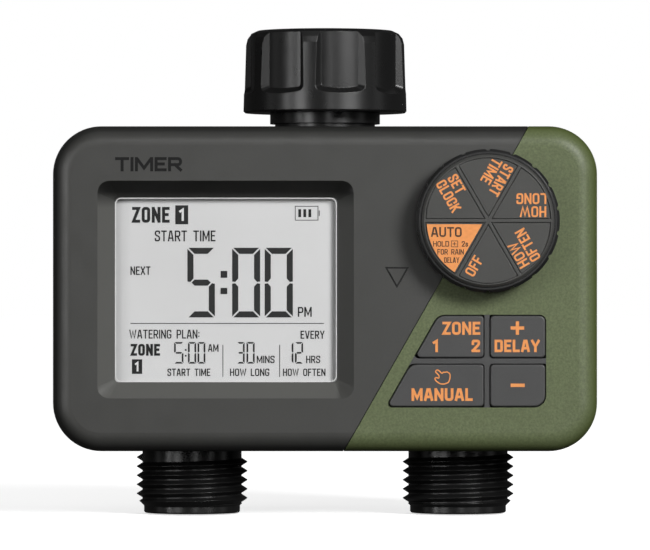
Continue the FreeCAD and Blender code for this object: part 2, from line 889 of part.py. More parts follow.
def inlet():
    bottom = s.nut_bottom
    mouth = s.mouth_height
    radius = s.nut_radius
    bore = s.thread_crest + 0.15
    tube = 11.05
    nut = turned(
        "nut_turning",
        "Z",
        (
            (tube + 0.1, bottom),
            (radius - 0.4, bottom),
            (radius, bottom + 0.4),
            (radius - 0.1, bottom + 4.4),
            (radius - 0.5, mouth - 3.4),
            (radius - 0.9, mouth - 1.9),
            (radius - 1.9, mouth - 0.7),
            (radius - 3.4, mouth),
            (bore + 0.25, mouth),
            (bore + 0.25, mouth - 3.0),
            (bore, mouth - 3.0),
            (bore, bottom + 3.5),
            (tube + 0.1, bottom + 3.5),
        ),
    )
    thread_ridge(nut, "nut_thread", bore + 0.1, bore - 1.45, 52.8, s.thread_pitch * 2.6)
    core = rod("pocket_core", "Z", s.nut_pocket_floor, (0, 0), (bottom + 1, mouth + 1))
    pockets = []
    for i in range(8):
        block = frustum(
            f"nut_pocket_block_{i}",
            (-8.8, 8.8),
            (-20.7, -17.0),
            (46.45, 66.0),
            (-3.85, 3.85),
            (49.2, 66.0),
        )
        pockets.append(eased(f"nut_pocket_{i}", block, 3.4, 1.0, 60))
        turn = s.nut_pillar_turn.value + 22.5 + 45 * i
        block.Placement = FreeCAD.Placement(Vector(), FreeCAD.Rotation(Vector(0, 0, 1), turn))
    tool = cut("nut_pockets", gather("nut_pocket_set", *pockets), core)
    deliver("inlet_nut", cut("inlet_nut_part", nut, tool))

    gallery = s.gallery_height
    stem = turned(
        "inlet_stem",
        "Z",
        (
            (0, gallery - 1.5),
            (9.8, gallery - 1.5),
            (9.8, 33.4),
            (13.8, 34.2),
            (13.8, 36.4),
            (s.neck_radius, 36.4),
            (s.neck_radius, 40.1),
            (13.4, 40.1),
            (13.4, bottom),
            (tube, bottom),
            (tube, 46.5),
            (12.5, 46.5),
            (12.5, 48.4),
            (0, 48.4),
        ),
    )
    reach = s.outlet_spacing
    span = (-reach - 9.2, reach + 9.2)
    main = rod("gallery_tube", "X", s.gallery_radius, (0, gallery), span)
    sockets = []
    tools = [
        rod("gallery_bore", "X", s.gallery_bore, (0, gallery), (-reach - 5, reach + 5)),
        rod("stem_bore", "Z", 6.6, (0, 0), (gallery - 1, 38)),
        rod("strainer_seat", "Z", 8.0, (0, 0), (37, 50)),
    ]
    for side, x in (("left", -reach), ("right", reach)):
        sockets.append(rod(f"inlet_socket_{side}", "Z", 9.2, (x, 0), (15.3, gallery + 1.3)))
        tools.append(rod(f"inlet_socket_bore_{side}", "Z", s.socket_bore, (x, 0), (15, 19.6)))
        tools.append(rod(f"inlet_drop_{side}", "Z", 5.0, (x, 0), (19, gallery)))
    manifold = cut("inlet_manifold_part", join("manifold_body", stem, main, *sockets), *tools)
    deliver("inlet_manifold", manifold)

    washer = turned(
        "washer_turning", "Z", ((8.4, 48.4), (13.3, 48.4), (13.3, 51.2), (8.4, 51.2))
    )
    deliver("inlet_washer", washer)
    rim = turned(
        "strainer_rim",
        "Z",
        ((6.6, 38.4), (7.8, 38.4), (7.8, 51.2), (10.0, 51.2), (10.0, 52.0), (6.6, 52.0)),
    )
    floor = rod("strainer_floor", "Z", 6.8, (0, 0), (38.4, 39.4))
    windows = []
    for i in range(6):
        window = prism(
            f"strainer_window_{i}",
            "XZ",
            ((-1.7, 40.4, 1.0), (1.7, 40.4, 1.0), (1.7, 49.0, 1.0), (-1.7, 49.0, 1.0)),
            (-9, -4),
        )
        turn = FreeCAD.Rotation(Vector(0, 0, 1), 60 * i)
        window.Placement = FreeCAD.Placement(Vector(), turn)
        windows.append(window)
    strainer = cut("strainer_part", join("strainer_body", rim, floor), *windows)
    deliver("inlet_strainer", strainer)


def spigot(side, x):
    """An outlet with a male hose thread, pushed up into its valve."""
    end = s.outlet_end
    root = s.thread_root
    body = turned(
        f"spigot_{side}",
        "Z",
        (
            (s.pipe_radius, -17.5),
            (s.pipe_radius, -33.6),
            (13.8, -34.2),
            (13.8, -36.4),
            (s.neck_radius - 0.2, -36.4),
            (s.neck_radius - 0.2, -38.9),
            (root, -39.3),
            (root, end + 1.7),
            (s.pilot_radius, end + 1.7),
            (s.pilot_radius, end + 0.3),
            (s.pilot_radius - 0.3, end),
            (s.spigot_bore, end),
            (s.spigot_bore, -42.0),
            (s.pipe_bore, -38.0),
            (s.pipe_bore, -17.5),
        ),
    )
    first = end + 1.3
    thread_ridge(
        body, f"spigot_thread_{side}", root - 0.15, s.thread_crest, first, s.thread_pitch * 5.5
    )
    grooved(
        body,
        f"spigot_lead_{side}",
        (
            (s.pilot_radius, end - 1),
            (16, end - 1),
            (16, end + 6.0),
            (s.pilot_radius, end + 1.7),
        ),
    )
    turn = {"left": 0, "right": 180}[side]
    body.Placement = FreeCAD.Placement(Vector(), FreeCAD.Rotation(Vector(0, 0, 1), turn))
    deliver(f"outlet_spigot_{side}", put(body, x, 0, 0))


def valve(side, x):
    level = s.valve_height
    seat = s.seat_face
    chamber = s.chamber_radius
    here = (x, level)
    diagonals = [
        (s.ear_circle * math.cos(math.radians(a)), s.ear_circle * math.sin(math.radians(a)))
        for a in (45, 135, 225, 315)
    ]
    corners = [(x + dx, level + dz) for dx, dz in diagonals]

    body = rod(f"chamber_{side}", "Y", chamber, here, (-8.5, seat))
    ears = [rod(f"ear_{side}_{i}", "Y", 2.7, c, (4.4, seat)) for i, c in enumerate(corners)]
    annulus = cut(
        f"annulus_{side}",
        rod(f"annulus_outer_{side}", "Y", s.chamber_bore, here, (-5.5, seat + 1)),
        rod(f"annulus_inner_{side}", "Y", s.seat_radius, here, (-6, seat + 2)),
        brick(f"chamber_floor_{side}", (x - 20, x + 20), (-10, 12), (-30, level - 5.5)),
    )
    socket = rod(f"outlet_socket_{side}", "Z", 9.2, (x, 0), (-22.5, -11.2))
    neck = rod(f"outlet_neck_{side}", "Z", 7.0, (x, 0), (-12.5, level - 6))
    inlet_pipe = rod(f"inlet_pipe_{side}", "Z", s.pipe_radius, (x, 0), (level + 10.5, 19.4))
    shell = join(f"valve_shell_{side}", body, inlet_pipe, socket, neck, *ears)
    tools = [
        annulus,
        rod(f"seat_bore_{side}", "Y", s.seat_bore, here, (-6.5, seat + 1)),
        rod(f"outlet_bore_{side}", "Z", s.pipe_bore, (x, 0), (-18, level - 1)),
        rod(f"outlet_socket_bore_{side}", "Z", s.socket_bore, (x, 0), (-23, -17.2)),
        rod(f"inlet_bore_{side}", "Z", s.pipe_bore, (x, 0), (level + 8.2, 20)),
    ]
    tools += [
        rod(f"ear_bore_{side}_{i}", "Y", 1.2, c, (5.2, seat + 1)) for i, c in enumerate(corners)
    ]
    for number, tool in enumerate(tools):
        shell = cut(f"valve_body_{side}_cut_{number}", shell, tool)
    deliver(f"valve_body_{side}", shell)

    thick = s.diaphragm_thickness
    sheet_back = seat + thick
    skin = turned(
        f"diaphragm_skin_{side}",
        "Y",
        (
            (5.6, seat),
            (12.6, seat),
            (12.6, sheet_back),
            (10.4, sheet_back),
            (9.8, sheet_back + 1.0),
            (8.8, sheet_back + 1.0),
            (8.2, sheet_back),
            (5.6, sheet_back),
        ),
    )
    fold = ring(f"diaphragm_fold_{side}", "Y", 9.3, 0.75, (0, seat - 0.1, 0))
    deliver(
        f"diaphragm_{side}", put(cut(f"diaphragm_{side}_part", skin, fold), x, 0, level)
    )
    disc = turned(
        f"valve_disc_{side}",
        "Y",
        (
            (0.5, seat),
            (5.5, seat),
            (5.5, sheet_back),
            (7.6, sheet_back),
            (7.6, sheet_back + 1.0),
            (1.6, sheet_back + 1.0),
            (1.2, sheet_back + 1.6),
            (0.5, sheet_back + 1.6),
        ),
    )
    deliver(f"valve_disc_{side}", put(disc, x, 0, level))

    top = sheet_back + 4.0
    bonnet = turned(
        f"bonnet_turning_{side}",
        "Y",
        (
            (s.plunger_radius + 0.1, sheet_back + 2.4),
            (8.8, sheet_back + 2.4),
            (11.4, sheet_back + 1.0),
            (11.4, sheet_back),
            (chamber, sheet_back),
            (chamber, top),
            (4.2, top),
            (4.2, 22.6),
            (0, 22.6),
            (0, 21.4),
            (s.plunger_radius + 0.1, 21.4),
        ),
    )
    lugs = [
        rod(f"lug_{side}_{i}", "Y", 2.7, c, (sheet_back, top - 1.2))
        for i, c in enumerate(diagonals)
    ]
    lug_bores = [
        rod(f"lug_bore_{side}_{i}", "Y", 1.4, c, (seat, top + 1))
        for i, c in enumerate(diagonals)
    ]
    ring_bore = rod(
        f"bonnet_room_{side}", "Y", 11.4, (0, 0), (seat, sheet_back + 0.6)
    )
    cover = cut(
        f"bonnet_{side}_part", join(f"bonnet_body_{side}", bonnet, *lugs), ring_bore, *lug_bores
    )
    deliver(f"bonnet_{side}", put(cover, x, 0, level))

    screws = []
    head = top - 1.2
    for i, (sx, sz) in enumerate(corners):
        screw = turned(
            f"bonnet_screw_{side}_{i}",
            "Y",
            (
                (0, 5.4),
                (1.1, 6.2),
                (1.1, head),
                (2.1, head),
                (2.1, head + 1.0),
                (1.5, head + 1.6),
                (0, head + 1.6),
            ),
        )
        screws.append(put(screw, sx, 0, sz))

    plunger = turned(
        f"plunger_turning_{side}",
        "Y",
        (
            (0, sheet_back + 1.6),
            (1.0, sheet_back + 1.6),
            (1.6, sheet_back + 2.4),
            (s.plunger_radius, sheet_back + 2.6),
            (s.plunger_radius, 19.2),
            (2.0, 19.2),
            (2.0, 17.2),
            (0, 17.2),
        ),
    )
    deliver(f"plunger_{side}", put(plunger, x, 0, level))
    spring = wound(f"plunger_spring_{side}", 1.45, 0.2, 0.95, 3.8)
    spring.Placement = FreeCAD.Placement(Vector(), AXIS_TURN["Y"])
    deliver(f"plunger_spring_{side}", put(spring, x, 17.2, level))

    start = top + 0.2
    end = start + 7.6
    bobbin = turned(
        f"bobbin_turning_{side}",
        "Y",
        (
            (4.3, start),
            (s.coil_radius, start),
            (s.coil_radius, start + 0.8),
            (5.1, start + 0.8),
            (5.1, end - 0.8),
            (s.coil_radius, end - 0.8),
            (s.coil_radius, end),
            (4.3, end),
        ),
    )
    deliver(f"bobbin_{side}", put(bobbin, x, 0, level))
    winding = turned(
        f"winding_turning_{side}",
        "Y",
        (
            (5.1, start + 0.8),
            (s.coil_radius - 0.5, start + 0.8),
            (s.coil_radius - 0.5, end - 0.8),
            (5.1, end - 0.8),
        ),
    )
    deliver(f"coil_winding_{side}", put(winding, x, 0, level))
    width = s.coil_radius + 0.1
    plate = 1.0
    legs = brick(f"yoke_outer_{side}", (-width - plate, width + plate), (start, end + plate), (-6, 6))
    room = brick(f"yoke_room_{side}", (-width, width), (start - 1, end), (-7, 7))
    way = rod(f"yoke_way_{side}", "Y", 4.3, (0, 0), (start, end + 3))
    deliver(f"yoke_{side}", put(cut(f"yoke_{side}_part", legs, room, way), x, 0, level))
    return screws


def seals():
    rings = []
    for side, x in (("left", -s.outlet_spacing), ("right", s.outlet_spacing)):
        for place, z in (("inlet", 17.6), ("outlet", -19.8)):
            rings.append(ring(f"port_seal_{side}_{place}", "Z", 6.8, 0.57, (x, 0, z)))
    deliver("port_o_rings", gather("port_o_ring_set", *rings))


# ---- battery ------------------------------------------------------------

def battery():
    half = s.box_half_width
    front = s.box_front
    bottom = s.box_bottom
    top = s.box_top
    wall = 1.3
    back = s.rear_depth - s.wall_thickness - 0.1
    radius = s.cell_radius
    centre_y = front + wall + radius + 0.1
    centres = (-radius - 0.25, radius + 0.25)
    block = brick("box_block", (-half, half), (front, back), (bottom, top))
    rooms = [
        brick(
            f"box_room_{i}",
            (x - radius - 0.1, x + radius + 0.1),
            (centre_y, back + 1),
            (bottom + wall, top - wall),
        )
        for i, x in enumerate(centres)
    ]
    beds = [
        rod(f"box_bed_{i}", "Z", radius + 0.1, (x, centre_y), (bottom + wall, top - wall))
        for i, x in enumerate(centres)
    ]
    middle = brick("box_middle", (-1, 1), (centre_y, back + 1), (bottom + wall, top - wall))
    deliver("battery_box", cut("battery_box_part", block, *rooms, *beds, middle))

    floor = bottom + wall
    roof = top - wall
    plate = 0.4
    room = 3.0
    length = s.cell_length
    cells = []
    for i, x in enumerate(centres):
        cell = turned(
            f"cell_{i}",
            "Z",
            (
                (0, 0),
                (radius - 0.8, 0),
                (radius - 0.1, 0.6),
                (radius - 0.1, length - 1.8),
                (radius - 0.8, length - 1.2),
                (2.75, length - 1.2),
                (2.75, length),
                (0, length),
            ),
        )
        if i == 0:
            cell.Placement = FreeCAD.Placement(Vector(), FreeCAD.Rotation(Vector(1, 0, 0), 180))
            cells.append(put(cell, x, centre_y, roof - plate - room))
        else:
            cells.append(put(cell, x, centre_y, floor + plate + room))
    deliver("battery_cells", gather("battery_cell_set", *cells))

    contacts = [
        brick(
            f"contact_{i}", (x - 5, x + 5), (centre_y, centre_y + 5.5), (floor, floor + plate)
        )
        for i, x in enumerate(centres)
    ]
    contacts.append(
        brick("contact_bridge", (-12, 12), (centre_y, centre_y + 5.5), (roof - plate, roof))
    )
    deliver("battery_contacts", gather("battery_contact_set", *contacts))
    springs = []
    for i, (x, z) in enumerate(zip(centres, (roof - plate - room, floor + plate))):
        spring = wound(f"battery_spring_{i}", 3.6, 0.35, 0.9, 2.2)
        springs.append(put(spring, x, centre_y, z + 0.05))
    deliver("battery_springs", gather("battery_spring_set", *springs))


def wire_run(name, corners, radius):
    """A wire laid in straight runs along the axes, with a ball at each bend."""
    pieces = []
    for i, (start, end) in enumerate(zip(corners, corners[1:])):
        along = next(a for a in range(3) if start[a] != end[a])
        low, high = sorted((start[along], end[along]))
        centre = [start[a] for a in range(3) if a != along]
        pieces.append(rod(f"{name}_run_{i}", "XYZ"[along], radius, centre, (low, high)))
    for i, corner in enumerate(corners[1:-1]):
        ball = doc.addObject("Part::Sphere", f"{name}_bend_{i}")
        bind(ball, "Radius", radius)
        pieces.append(put(ball, *corner))
    return join(name, *pieces) if len(pieces) > 1 else pieces[0]


def wiring():
    connector_z = -30.5
    runs = []
    for side in (-1, 1):
        for lane in (0, 1):
            z = 1.4 + 1.2 * lane
            y = 17.0 + 1.2 * lane
            outside = side * (49.0 + 1.2 * lane)
            level = connector_z - 0.6 + 1.2 * lane
            corners = (
                (side * 42.3, y, z),
                (outside, y, z),
                (outside, y, level),
                (outside, -10.0, level),
                (side * 20.1, -10.0, level),
            )
            runs.append(wire_run(f"solenoid_wire_{(side + 1) // 2}_{lane}", corners, 0.5))
    deliver("solenoid_wires", gather("solenoid_wire_set", *runs))
    leads = [
        wire_run(f"battery_lead_{i}", ((x, -8.3, connector_z), (x, 6.9, connector_z)), 0.5)
        for i, x in enumerate((-1.5, 1.5))
    ]
    deliver("battery_wires", gather("battery_wire_set", *leads))


def build():
    rear_housing(housing())
    display()
    circuit_board()
    dial()
    keypad()
    inlet()
    screws = []
    for side, x in (("left", -s.outlet_spacing), ("right", s.outlet_spacing)):
        spigot(side, x)
        screws += valve(side, x)
    deliver("bonnet_screws", gather("bonnet_screw_set", *screws))
    seals()
    battery()
    wiring()


def check_and_export():
    doc.recompute()
    faults = []
    for thing in doc.Objects:
        if "Invalid" in thing.State or "Error" in thing.State:
            faults.append(f"{thing.Label}: {thing.State}")
    for thing in nodes:
        if thing.Shape.isNull() or not thing.Shape.isValid():
            faults.append(f"{thing.Label}: shape")
    if faults:
        raise RuntimeError("; ".join(faults))
    for thing in nodes:
        thing.Shape.exportStep(os.path.join("parts", f"{thing.Label}.step"))
        box = thing.Shape.BoundBox
        print(
            f"{thing.Label:22s} solids {len(thing.Shape.Solids)} volume {thing.Shape.Volume:9.1f}"
            f" x {box.XMin:7.2f} {box.XMax:7.2f} y {box.YMin:7.2f} {box.YMax:7.2f}"
            f" z {box.ZMin:7.2f} {box.ZMax:7.2f}"
        )


build()
check_and_export()
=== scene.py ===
"""Looks for a two-outlet watering timer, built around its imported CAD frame."""

import math

import bpy
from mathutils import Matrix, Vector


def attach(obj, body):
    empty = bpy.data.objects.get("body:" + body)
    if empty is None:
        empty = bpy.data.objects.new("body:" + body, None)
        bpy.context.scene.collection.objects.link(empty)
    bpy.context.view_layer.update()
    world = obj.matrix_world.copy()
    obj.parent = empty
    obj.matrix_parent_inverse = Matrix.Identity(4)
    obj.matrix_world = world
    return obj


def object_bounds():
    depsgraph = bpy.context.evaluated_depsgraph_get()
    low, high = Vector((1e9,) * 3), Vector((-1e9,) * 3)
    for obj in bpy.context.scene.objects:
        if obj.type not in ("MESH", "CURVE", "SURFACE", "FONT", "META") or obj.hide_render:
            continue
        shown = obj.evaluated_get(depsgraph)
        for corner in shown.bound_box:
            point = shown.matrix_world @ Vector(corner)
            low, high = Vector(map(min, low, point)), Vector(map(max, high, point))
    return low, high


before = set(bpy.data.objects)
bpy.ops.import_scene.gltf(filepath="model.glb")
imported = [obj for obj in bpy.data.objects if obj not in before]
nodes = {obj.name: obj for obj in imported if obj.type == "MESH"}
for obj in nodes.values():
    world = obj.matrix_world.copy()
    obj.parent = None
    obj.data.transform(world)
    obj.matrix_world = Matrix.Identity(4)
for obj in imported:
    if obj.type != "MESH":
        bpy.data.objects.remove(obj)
cad_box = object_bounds()

MM = 0.001
MOUTH_HEIGHT = 62.8  # inlet mouth above the housing's middle, mm
DIAL_CENTRE = (38.8, 16.2)
COVER_FRONT = -26.0
CAP_FRONT = -26.6
LENS_FRONT = -22.3
GLASS_FRONT = -20.6
SECTOR_FRONT = -33.90


# ---- materials ----------------------------------------------------------

def linear(code):
    """An RGB hex code as linear colour."""
    parts = [int(code[i:i + 2], 16) / 255 for i in (0, 2, 4)]
    return [c / 12.92 if c <= 0.04045 else ((c + 0.055) / 1.055) ** 2.4 for c in parts]


def scaled(colour, factor):
    return [min(1.0, c * factor) for c in colour]


CHARCOAL = linear("3d3d3b")
GREEN = linear("5c6547")
PRINT_ORANGE = linear("e59556")


class Look:
    """A node material round one Principled shader."""

    def __init__(self, name, **sockets):
        self.material = bpy.data.materials.new(name)
        self.material.use_nodes = True
        self.tree = self.material.node_tree
        self.shader = self.tree.nodes["Principled BSDF"]
        for socket, value in sockets.items():
            self.shader.inputs[socket.replace("_", " ")].default_value = value
        self.place = self.add("ShaderNodeTexCoord").outputs["Object"]

    def add(self, kind, **settings):
        node = self.tree.nodes.new(kind)
        for key, value in settings.items():
            setattr(node, key, value)
        return node

    def link(self, source, target):
        self.tree.links.new(source, target)

    def noise(self, size, detail=3.0, stretch=(1, 1, 1)):
        """Noise whose blotches are about size millimetres across."""
        mapping = self.add("ShaderNodeMapping")
        mapping.inputs["Scale"].default_value = stretch
        self.link(self.place, mapping.inputs["Vector"])
        texture = self.add("ShaderNodeTexNoise")
        texture.inputs["Scale"].default_value = 1 / (size * MM)
        texture.inputs["Detail"].default_value = detail
        self.link(mapping.outputs["Vector"], texture.inputs["Vector"])
        return texture.outputs["Fac"]

    def spread(self, value, low, high, start=0.3, end=0.7):
        """The value carried onto a new range."""
        node = self.add("ShaderNodeMapRange")
        node.inputs["From Min"].default_value = start
        node.inputs["From Max"].default_value = end
        node.inputs["To Min"].default_value = low
        node.inputs["To Max"].default_value = high
        self.link(value, node.inputs["Value"])
        return node.outputs["Result"]

    def blend(self, factor, first, second):
        node = self.add("ShaderNodeMix", data_type="RGBA")
        self.link(factor, node.inputs["Factor"])
        for slot, colour in ((6, first), (7, second)):
            if isinstance(colour, (list, tuple)):
                node.inputs[slot].default_value = (*colour[:3], 1)
            else:
                self.link(colour, node.inputs[slot])
        return node.outputs[2]

    def edges(self, radius):
        """0 on flats, rising towards 1 on sharp edges."""
        bevel = self.add("ShaderNodeBevel", samples=4)
        bevel.inputs["Radius"].default_value = radius * MM
        geometry = self.add("ShaderNodeNewGeometry")
        product = self.add("ShaderNodeVectorMath", operation="DOT_PRODUCT")
        self.link(bevel.outputs["Normal"], product.inputs[0])
        self.link(geometry.outputs["Normal"], product.inputs[1])
        return self.spread(product.outputs["Value"], 1.0, 0.0, 0.80, 0.99)

    def within(self, limits):
        """Masks the space between limits given as axis, outside and inside in mm."""
        apart = self.add("ShaderNodeSeparateXYZ")
        self.link(self.place, apart.inputs["Vector"])
        mask = None
        for axis, outside, inside in limits:
            side = self.spread(apart.outputs[axis], 0.0, 1.0, outside * MM, inside * MM)
            if mask is None:
                mask = side
                continue
            product = self.add("ShaderNodeMath", operation="MULTIPLY")
            self.link(mask, product.inputs[0])
            self.link(side, product.inputs[1])
            mask = product.outputs["Value"]
        return mask

    def colour(self, value):
        self.link(value, self.shader.inputs["Base Color"])

    def rough(self, value):
        self.link(value, self.shader.inputs["Roughness"])

    def bump(self, height, distance, strength=1.0, soften=0.0):
        """Relief of a height field, distance in millimetres, over softened edges."""
        node = self.add("ShaderNodeBump")
        node.inputs["Distance"].default_value = distance * MM
        node.inputs["Strength"].default_value = strength
        self.link(height, node.inputs["Height"])
        if soften:
            bevel = self.add("ShaderNodeBevel", samples=4)
            bevel.inputs["Radius"].default_value = soften * MM
            self.link(bevel.outputs["Normal"], node.inputs["Normal"])
        self.link(node.outputs["Normal"], self.shader.inputs["Normal"])


def moulded(
    name,
    colour,
    rough=0.42,
    grain=0.3,
    depth=0.010,
    worn=1.35,
    soften=0.0,
    fleck=0.08,
    patchy=0.05,
    edge=None,
    **sockets,
):
    """Moulded plastic: fine texture, faint mottling and paler worn edges.

    Grain, depth and soften are in millimetres. The edge colour is painted shade: it
    replaces the plain one on the housing's rounded front edge and its sides.
    """
    look = Look(name, **sockets)
    mottle = look.spread(look.noise(14, 4.0), 0.0, 1.0)
    speckle = look.spread(look.noise(grain * 1.6, 2.0), 0.0, 1.0)
    body = look.blend(mottle, scaled(colour, 0.94), scaled(colour, 1.05))
    spots = look.blend(speckle, scaled(colour, 1 - fleck), scaled(colour, 1 + fleck))
    surface = look.blend(look.spread(mottle, 0.45, 0.6, 0, 1), body, spots)
    if edge:
        # painted shade: the darker edge colour on the rounded front edge and the sides
        surface = look.blend(look.within((("Y", -25.9, -23.5),)), surface, edge)
    rubbed = look.spread(look.edges(0.25), 0.0, 0.7, 0, 1)
    look.colour(look.blend(rubbed, surface, scaled(colour, worn)))
    look.rough(look.spread(look.noise(5, 3.0), rough - patchy, rough + patchy))
    look.bump(look.noise(grain, 2.0), depth, soften=soften)
    return look.material


def cover_plastic():
    """The front cover: charcoal, with glossier slopes round the window.

    Painted shade darkens it on the rounded edge and the sides, on the slope above the window,
    in the marker's groove and in the seam beside the green skin; painted light brightens
    the other slopes round the window.
    """
    look = Look("cover_plastic", Specular_IOR_Level=0.5)
    below = ("Y", -25.96, -25.90)
    window = look.within(
        (below, ("X", -54.8, -54.7), ("X", 7.2, 7.1), ("Z", -89.4, -89.3), ("Z", -36.6, -36.7))
    )
    groove = look.within(
        (below, ("X", 14.0, 14.1), ("X", 20.4, 20.3), ("Z", -63.0, -62.9), ("Z", -57.4, -57.5))
    )
    mottle = look.spread(look.noise(14, 4.0), 0.0, 1.0)
    speckle = look.spread(look.noise(0.5, 2.0), 0.0, 1.0)
    face = look.blend(mottle, scaled(CHARCOAL, 0.95), scaled(CHARCOAL, 1.04))
    fleck = look.blend(speckle, scaled(CHARCOAL, 0.92), scaled(CHARCOAL, 1.07))
    body = look.blend(look.spread(mottle, 0.35, 0.55, 0, 1), face, fleck)
    worn = look.blend(look.spread(look.edges(0.2), 0.0, 0.5, 0, 1), body, scaled(CHARCOAL, 1.3))
    # painted shade: darker on the rounded front edge and the sides
    edge_painted_shade = look.blend(look.within((("Y", -25.9, -24.4),)), worn, scaled(CHARCOAL, 0.42))
    # painted light on the slopes round the window: brighter on the left and lower slopes, less on the
    # right one
    side = look.within((("X", 2.6, 3.6),))
    slope_painted_light = look.blend(side, scaled(CHARCOAL, 1.8), scaled(CHARCOAL, 1.15))
    # painted shade on the slope above the window, which faces down
    slope = look.blend(look.within((("Z", -43.5, -39.5),)), slope_painted_light, scaled(CHARCOAL, 0.20))
    sloped = look.blend(window, edge_painted_shade, slope)
    # painted shade in the marker's groove
    groove_painted_shade = look.blend(groove, sloped, scaled(CHARCOAL, 0.10))
    # painted shade in the seam beside the green skin
    slant = look.add("ShaderNodeVectorMath", operation="DOT_PRODUCT")
    look.link(look.place, slant.inputs[0])
    slant.inputs[1].default_value = (1.0, 0.0, -0.569)
    seam_painted_shade = look.spread(slant.outputs["Value"], 0.0, 1.0, 62.20 * MM, 62.26 * MM)
    look.colour(look.blend(seam_painted_shade, groove_painted_shade, scaled(CHARCOAL, 0.06)))
    satin = look.spread(look.noise(5, 3.0), 0.36, 0.46)
    gloss = look.spread(look.noise(5, 3.0), 0.30, 0.36)
    chosen = look.add("ShaderNodeMix", data_type="FLOAT")
    look.link(window, chosen.inputs[0])
    look.link(satin, chosen.inputs[2])
    look.link(gloss, chosen.inputs[3])
    look.rough(chosen.outputs[0])
    look.bump(look.noise(0.3, 2.0), 0.005)
    return look.material


def rubber(name, colour, rough=0.75):
    """Matte rubber with a dusty bloom."""
    look = Look(name, Specular_IOR_Level=0.3)
    bloom = look.spread(look.noise(3, 5.0), 0.0, 1.0, 0.4, 0.75)
    look.colour(look.blend(bloom, colour, scaled(colour, 1.7)))
    look.rough(look.spread(look.noise(1.2, 4.0), rough - 0.1, rough + 0.1))
    look.bump(look.noise(0.35, 4.0), 0.02)
    return look.material


def metal(name, colour, rough=0.3, stretch=(1, 1, 1), stained=None):
    """Plated or drawn metal with faint directional lines and stains."""
    look = Look(name, Metallic=1.0)
    lines = look.noise(0.25, 2.0, stretch)
    blotch = look.spread(look.noise(6, 5.0), 0.0, 1.0, 0.45, 0.75)
    look.colour(look.blend(blotch, colour, stained or scaled(colour, 0.8)))
    look.rough(look.spread(lines, rough - 0.08, rough + 0.14))
    look.bump(lines, 0.006)
    return look.material


def printed(name, colour, rough=0.55):
    """Screen-printed ink: slightly uneven cover and edge."""
    look = Look(name, Specular_IOR_Level=0.3)
    cover = look.spread(look.noise(0.7, 4.0), 0.0, 1.0)
    look.colour(look.blend(cover, scaled(colour, 0.93), scaled(colour, 1.04)))
    look.rough(look.spread(look.noise(0.4, 3.0), rough - 0.06, rough + 0.1))
    look.bump(look.noise(0.25, 2.0), 0.004)
    return look.material


def board():
    """Green solder mask with copper tracks showing through."""
    look = Look("green_board", Coat_Weight=0.3, Coat_Roughness=0.15)
    tracks = look.add("ShaderNodeTexBrick")
    tracks.inputs["Scale"].default_value = 260
    tracks.inputs["Mortar Size"].default_value = 0.03
    tracks.inputs["Color1"].default_value = (0, 0, 0, 1)
    tracks.inputs["Color2"].default_value = (0.25, 0.25, 0.25, 1)
    tracks.inputs["Mortar"].default_value = (1, 1, 1, 1)
    turned = look.add("ShaderNodeMapping")
    turned.inputs["Rotation"].default_value = (math.radians(90), 0, 0)
    look.link(look.place, turned.inputs["Vector"])
    look.link(turned.outputs["Vector"], tracks.inputs["Vector"])
    shade = look.spread(look.noise(9, 4.0), 0.0, 1.0)
    mask = look.blend(shade, (0.012, 0.10, 0.035), (0.018, 0.15, 0.05))
    look.colour(look.blend(tracks.outputs["Color"], mask, (0.05, 0.26, 0.09)))
    look.rough(look.spread(look.noise(2, 3.0), 0.28, 0.42))
    look.bump(tracks.outputs["Color"], 0.02)
    return look.material


def winding():
    """Enamelled copper wire laid turn against turn, with painted shade between the turns."""
    look = Look("copper_enamel", Metallic=0.9, Coat_Weight=0.6, Coat_Roughness=0.1)
    turns = look.add("ShaderNodeTexWave", wave_type="BANDS", bands_direction="Y")
    turns.inputs["Scale"].default_value = 900
    turns.inputs["Distortion"].default_value = 0.6
    turns.inputs["Detail"].default_value = 2
    look.link(look.place, turns.inputs["Vector"])
    # painted shade: dark bands between the turns of wire
    look.colour(look.blend(turns.outputs["Fac"], (0.20, 0.06, 0.02), (0.72, 0.27, 0.10)))
    look.rough(look.spread(look.noise(1, 3.0), 0.22, 0.38))
    look.bump(turns.outputs["Fac"], 0.08)
    return look.material


def jacket():
    """Plain battery film: blue-grey body with a pale band at one end."""
    look = Look("cell_jacket", Coat_Weight=0.5, Coat_Roughness=0.08)
    apart = look.add("ShaderNodeSeparateXYZ")
    look.link(look.place, apart.inputs["Vector"])
    band = look.spread(apart.outputs["Z"], 0.0, 1.0, -0.0600, -0.0598)
    cover = look.spread(look.noise(4, 4.0), 0.0, 1.0)
    body = look.blend(cover, (0.050, 0.085, 0.125), (0.065, 0.105, 0.150))
    look.colour(look.blend(band, body, (0.60, 0.60, 0.58)))
    look.rough(look.spread(look.noise(3, 3.0), 0.2, 0.34))
    look.bump(look.noise(0.6, 2.0), 0.006)
    return look.material


def clear(name, colour, alpha, rough):
    """Thin clear plastic: mostly open, with a hazy gloss."""
    look = Look(name, Alpha=alpha, Specular_IOR_Level=0.7)
    haze = look.spread(look.noise(18, 3.0), 0.0, 1.0)
    look.colour(look.blend(haze, scaled(colour, 0.96), colour))
    look.rough(look.spread(look.noise(7, 4.0), rough, rough + 0.05))
    return look.material


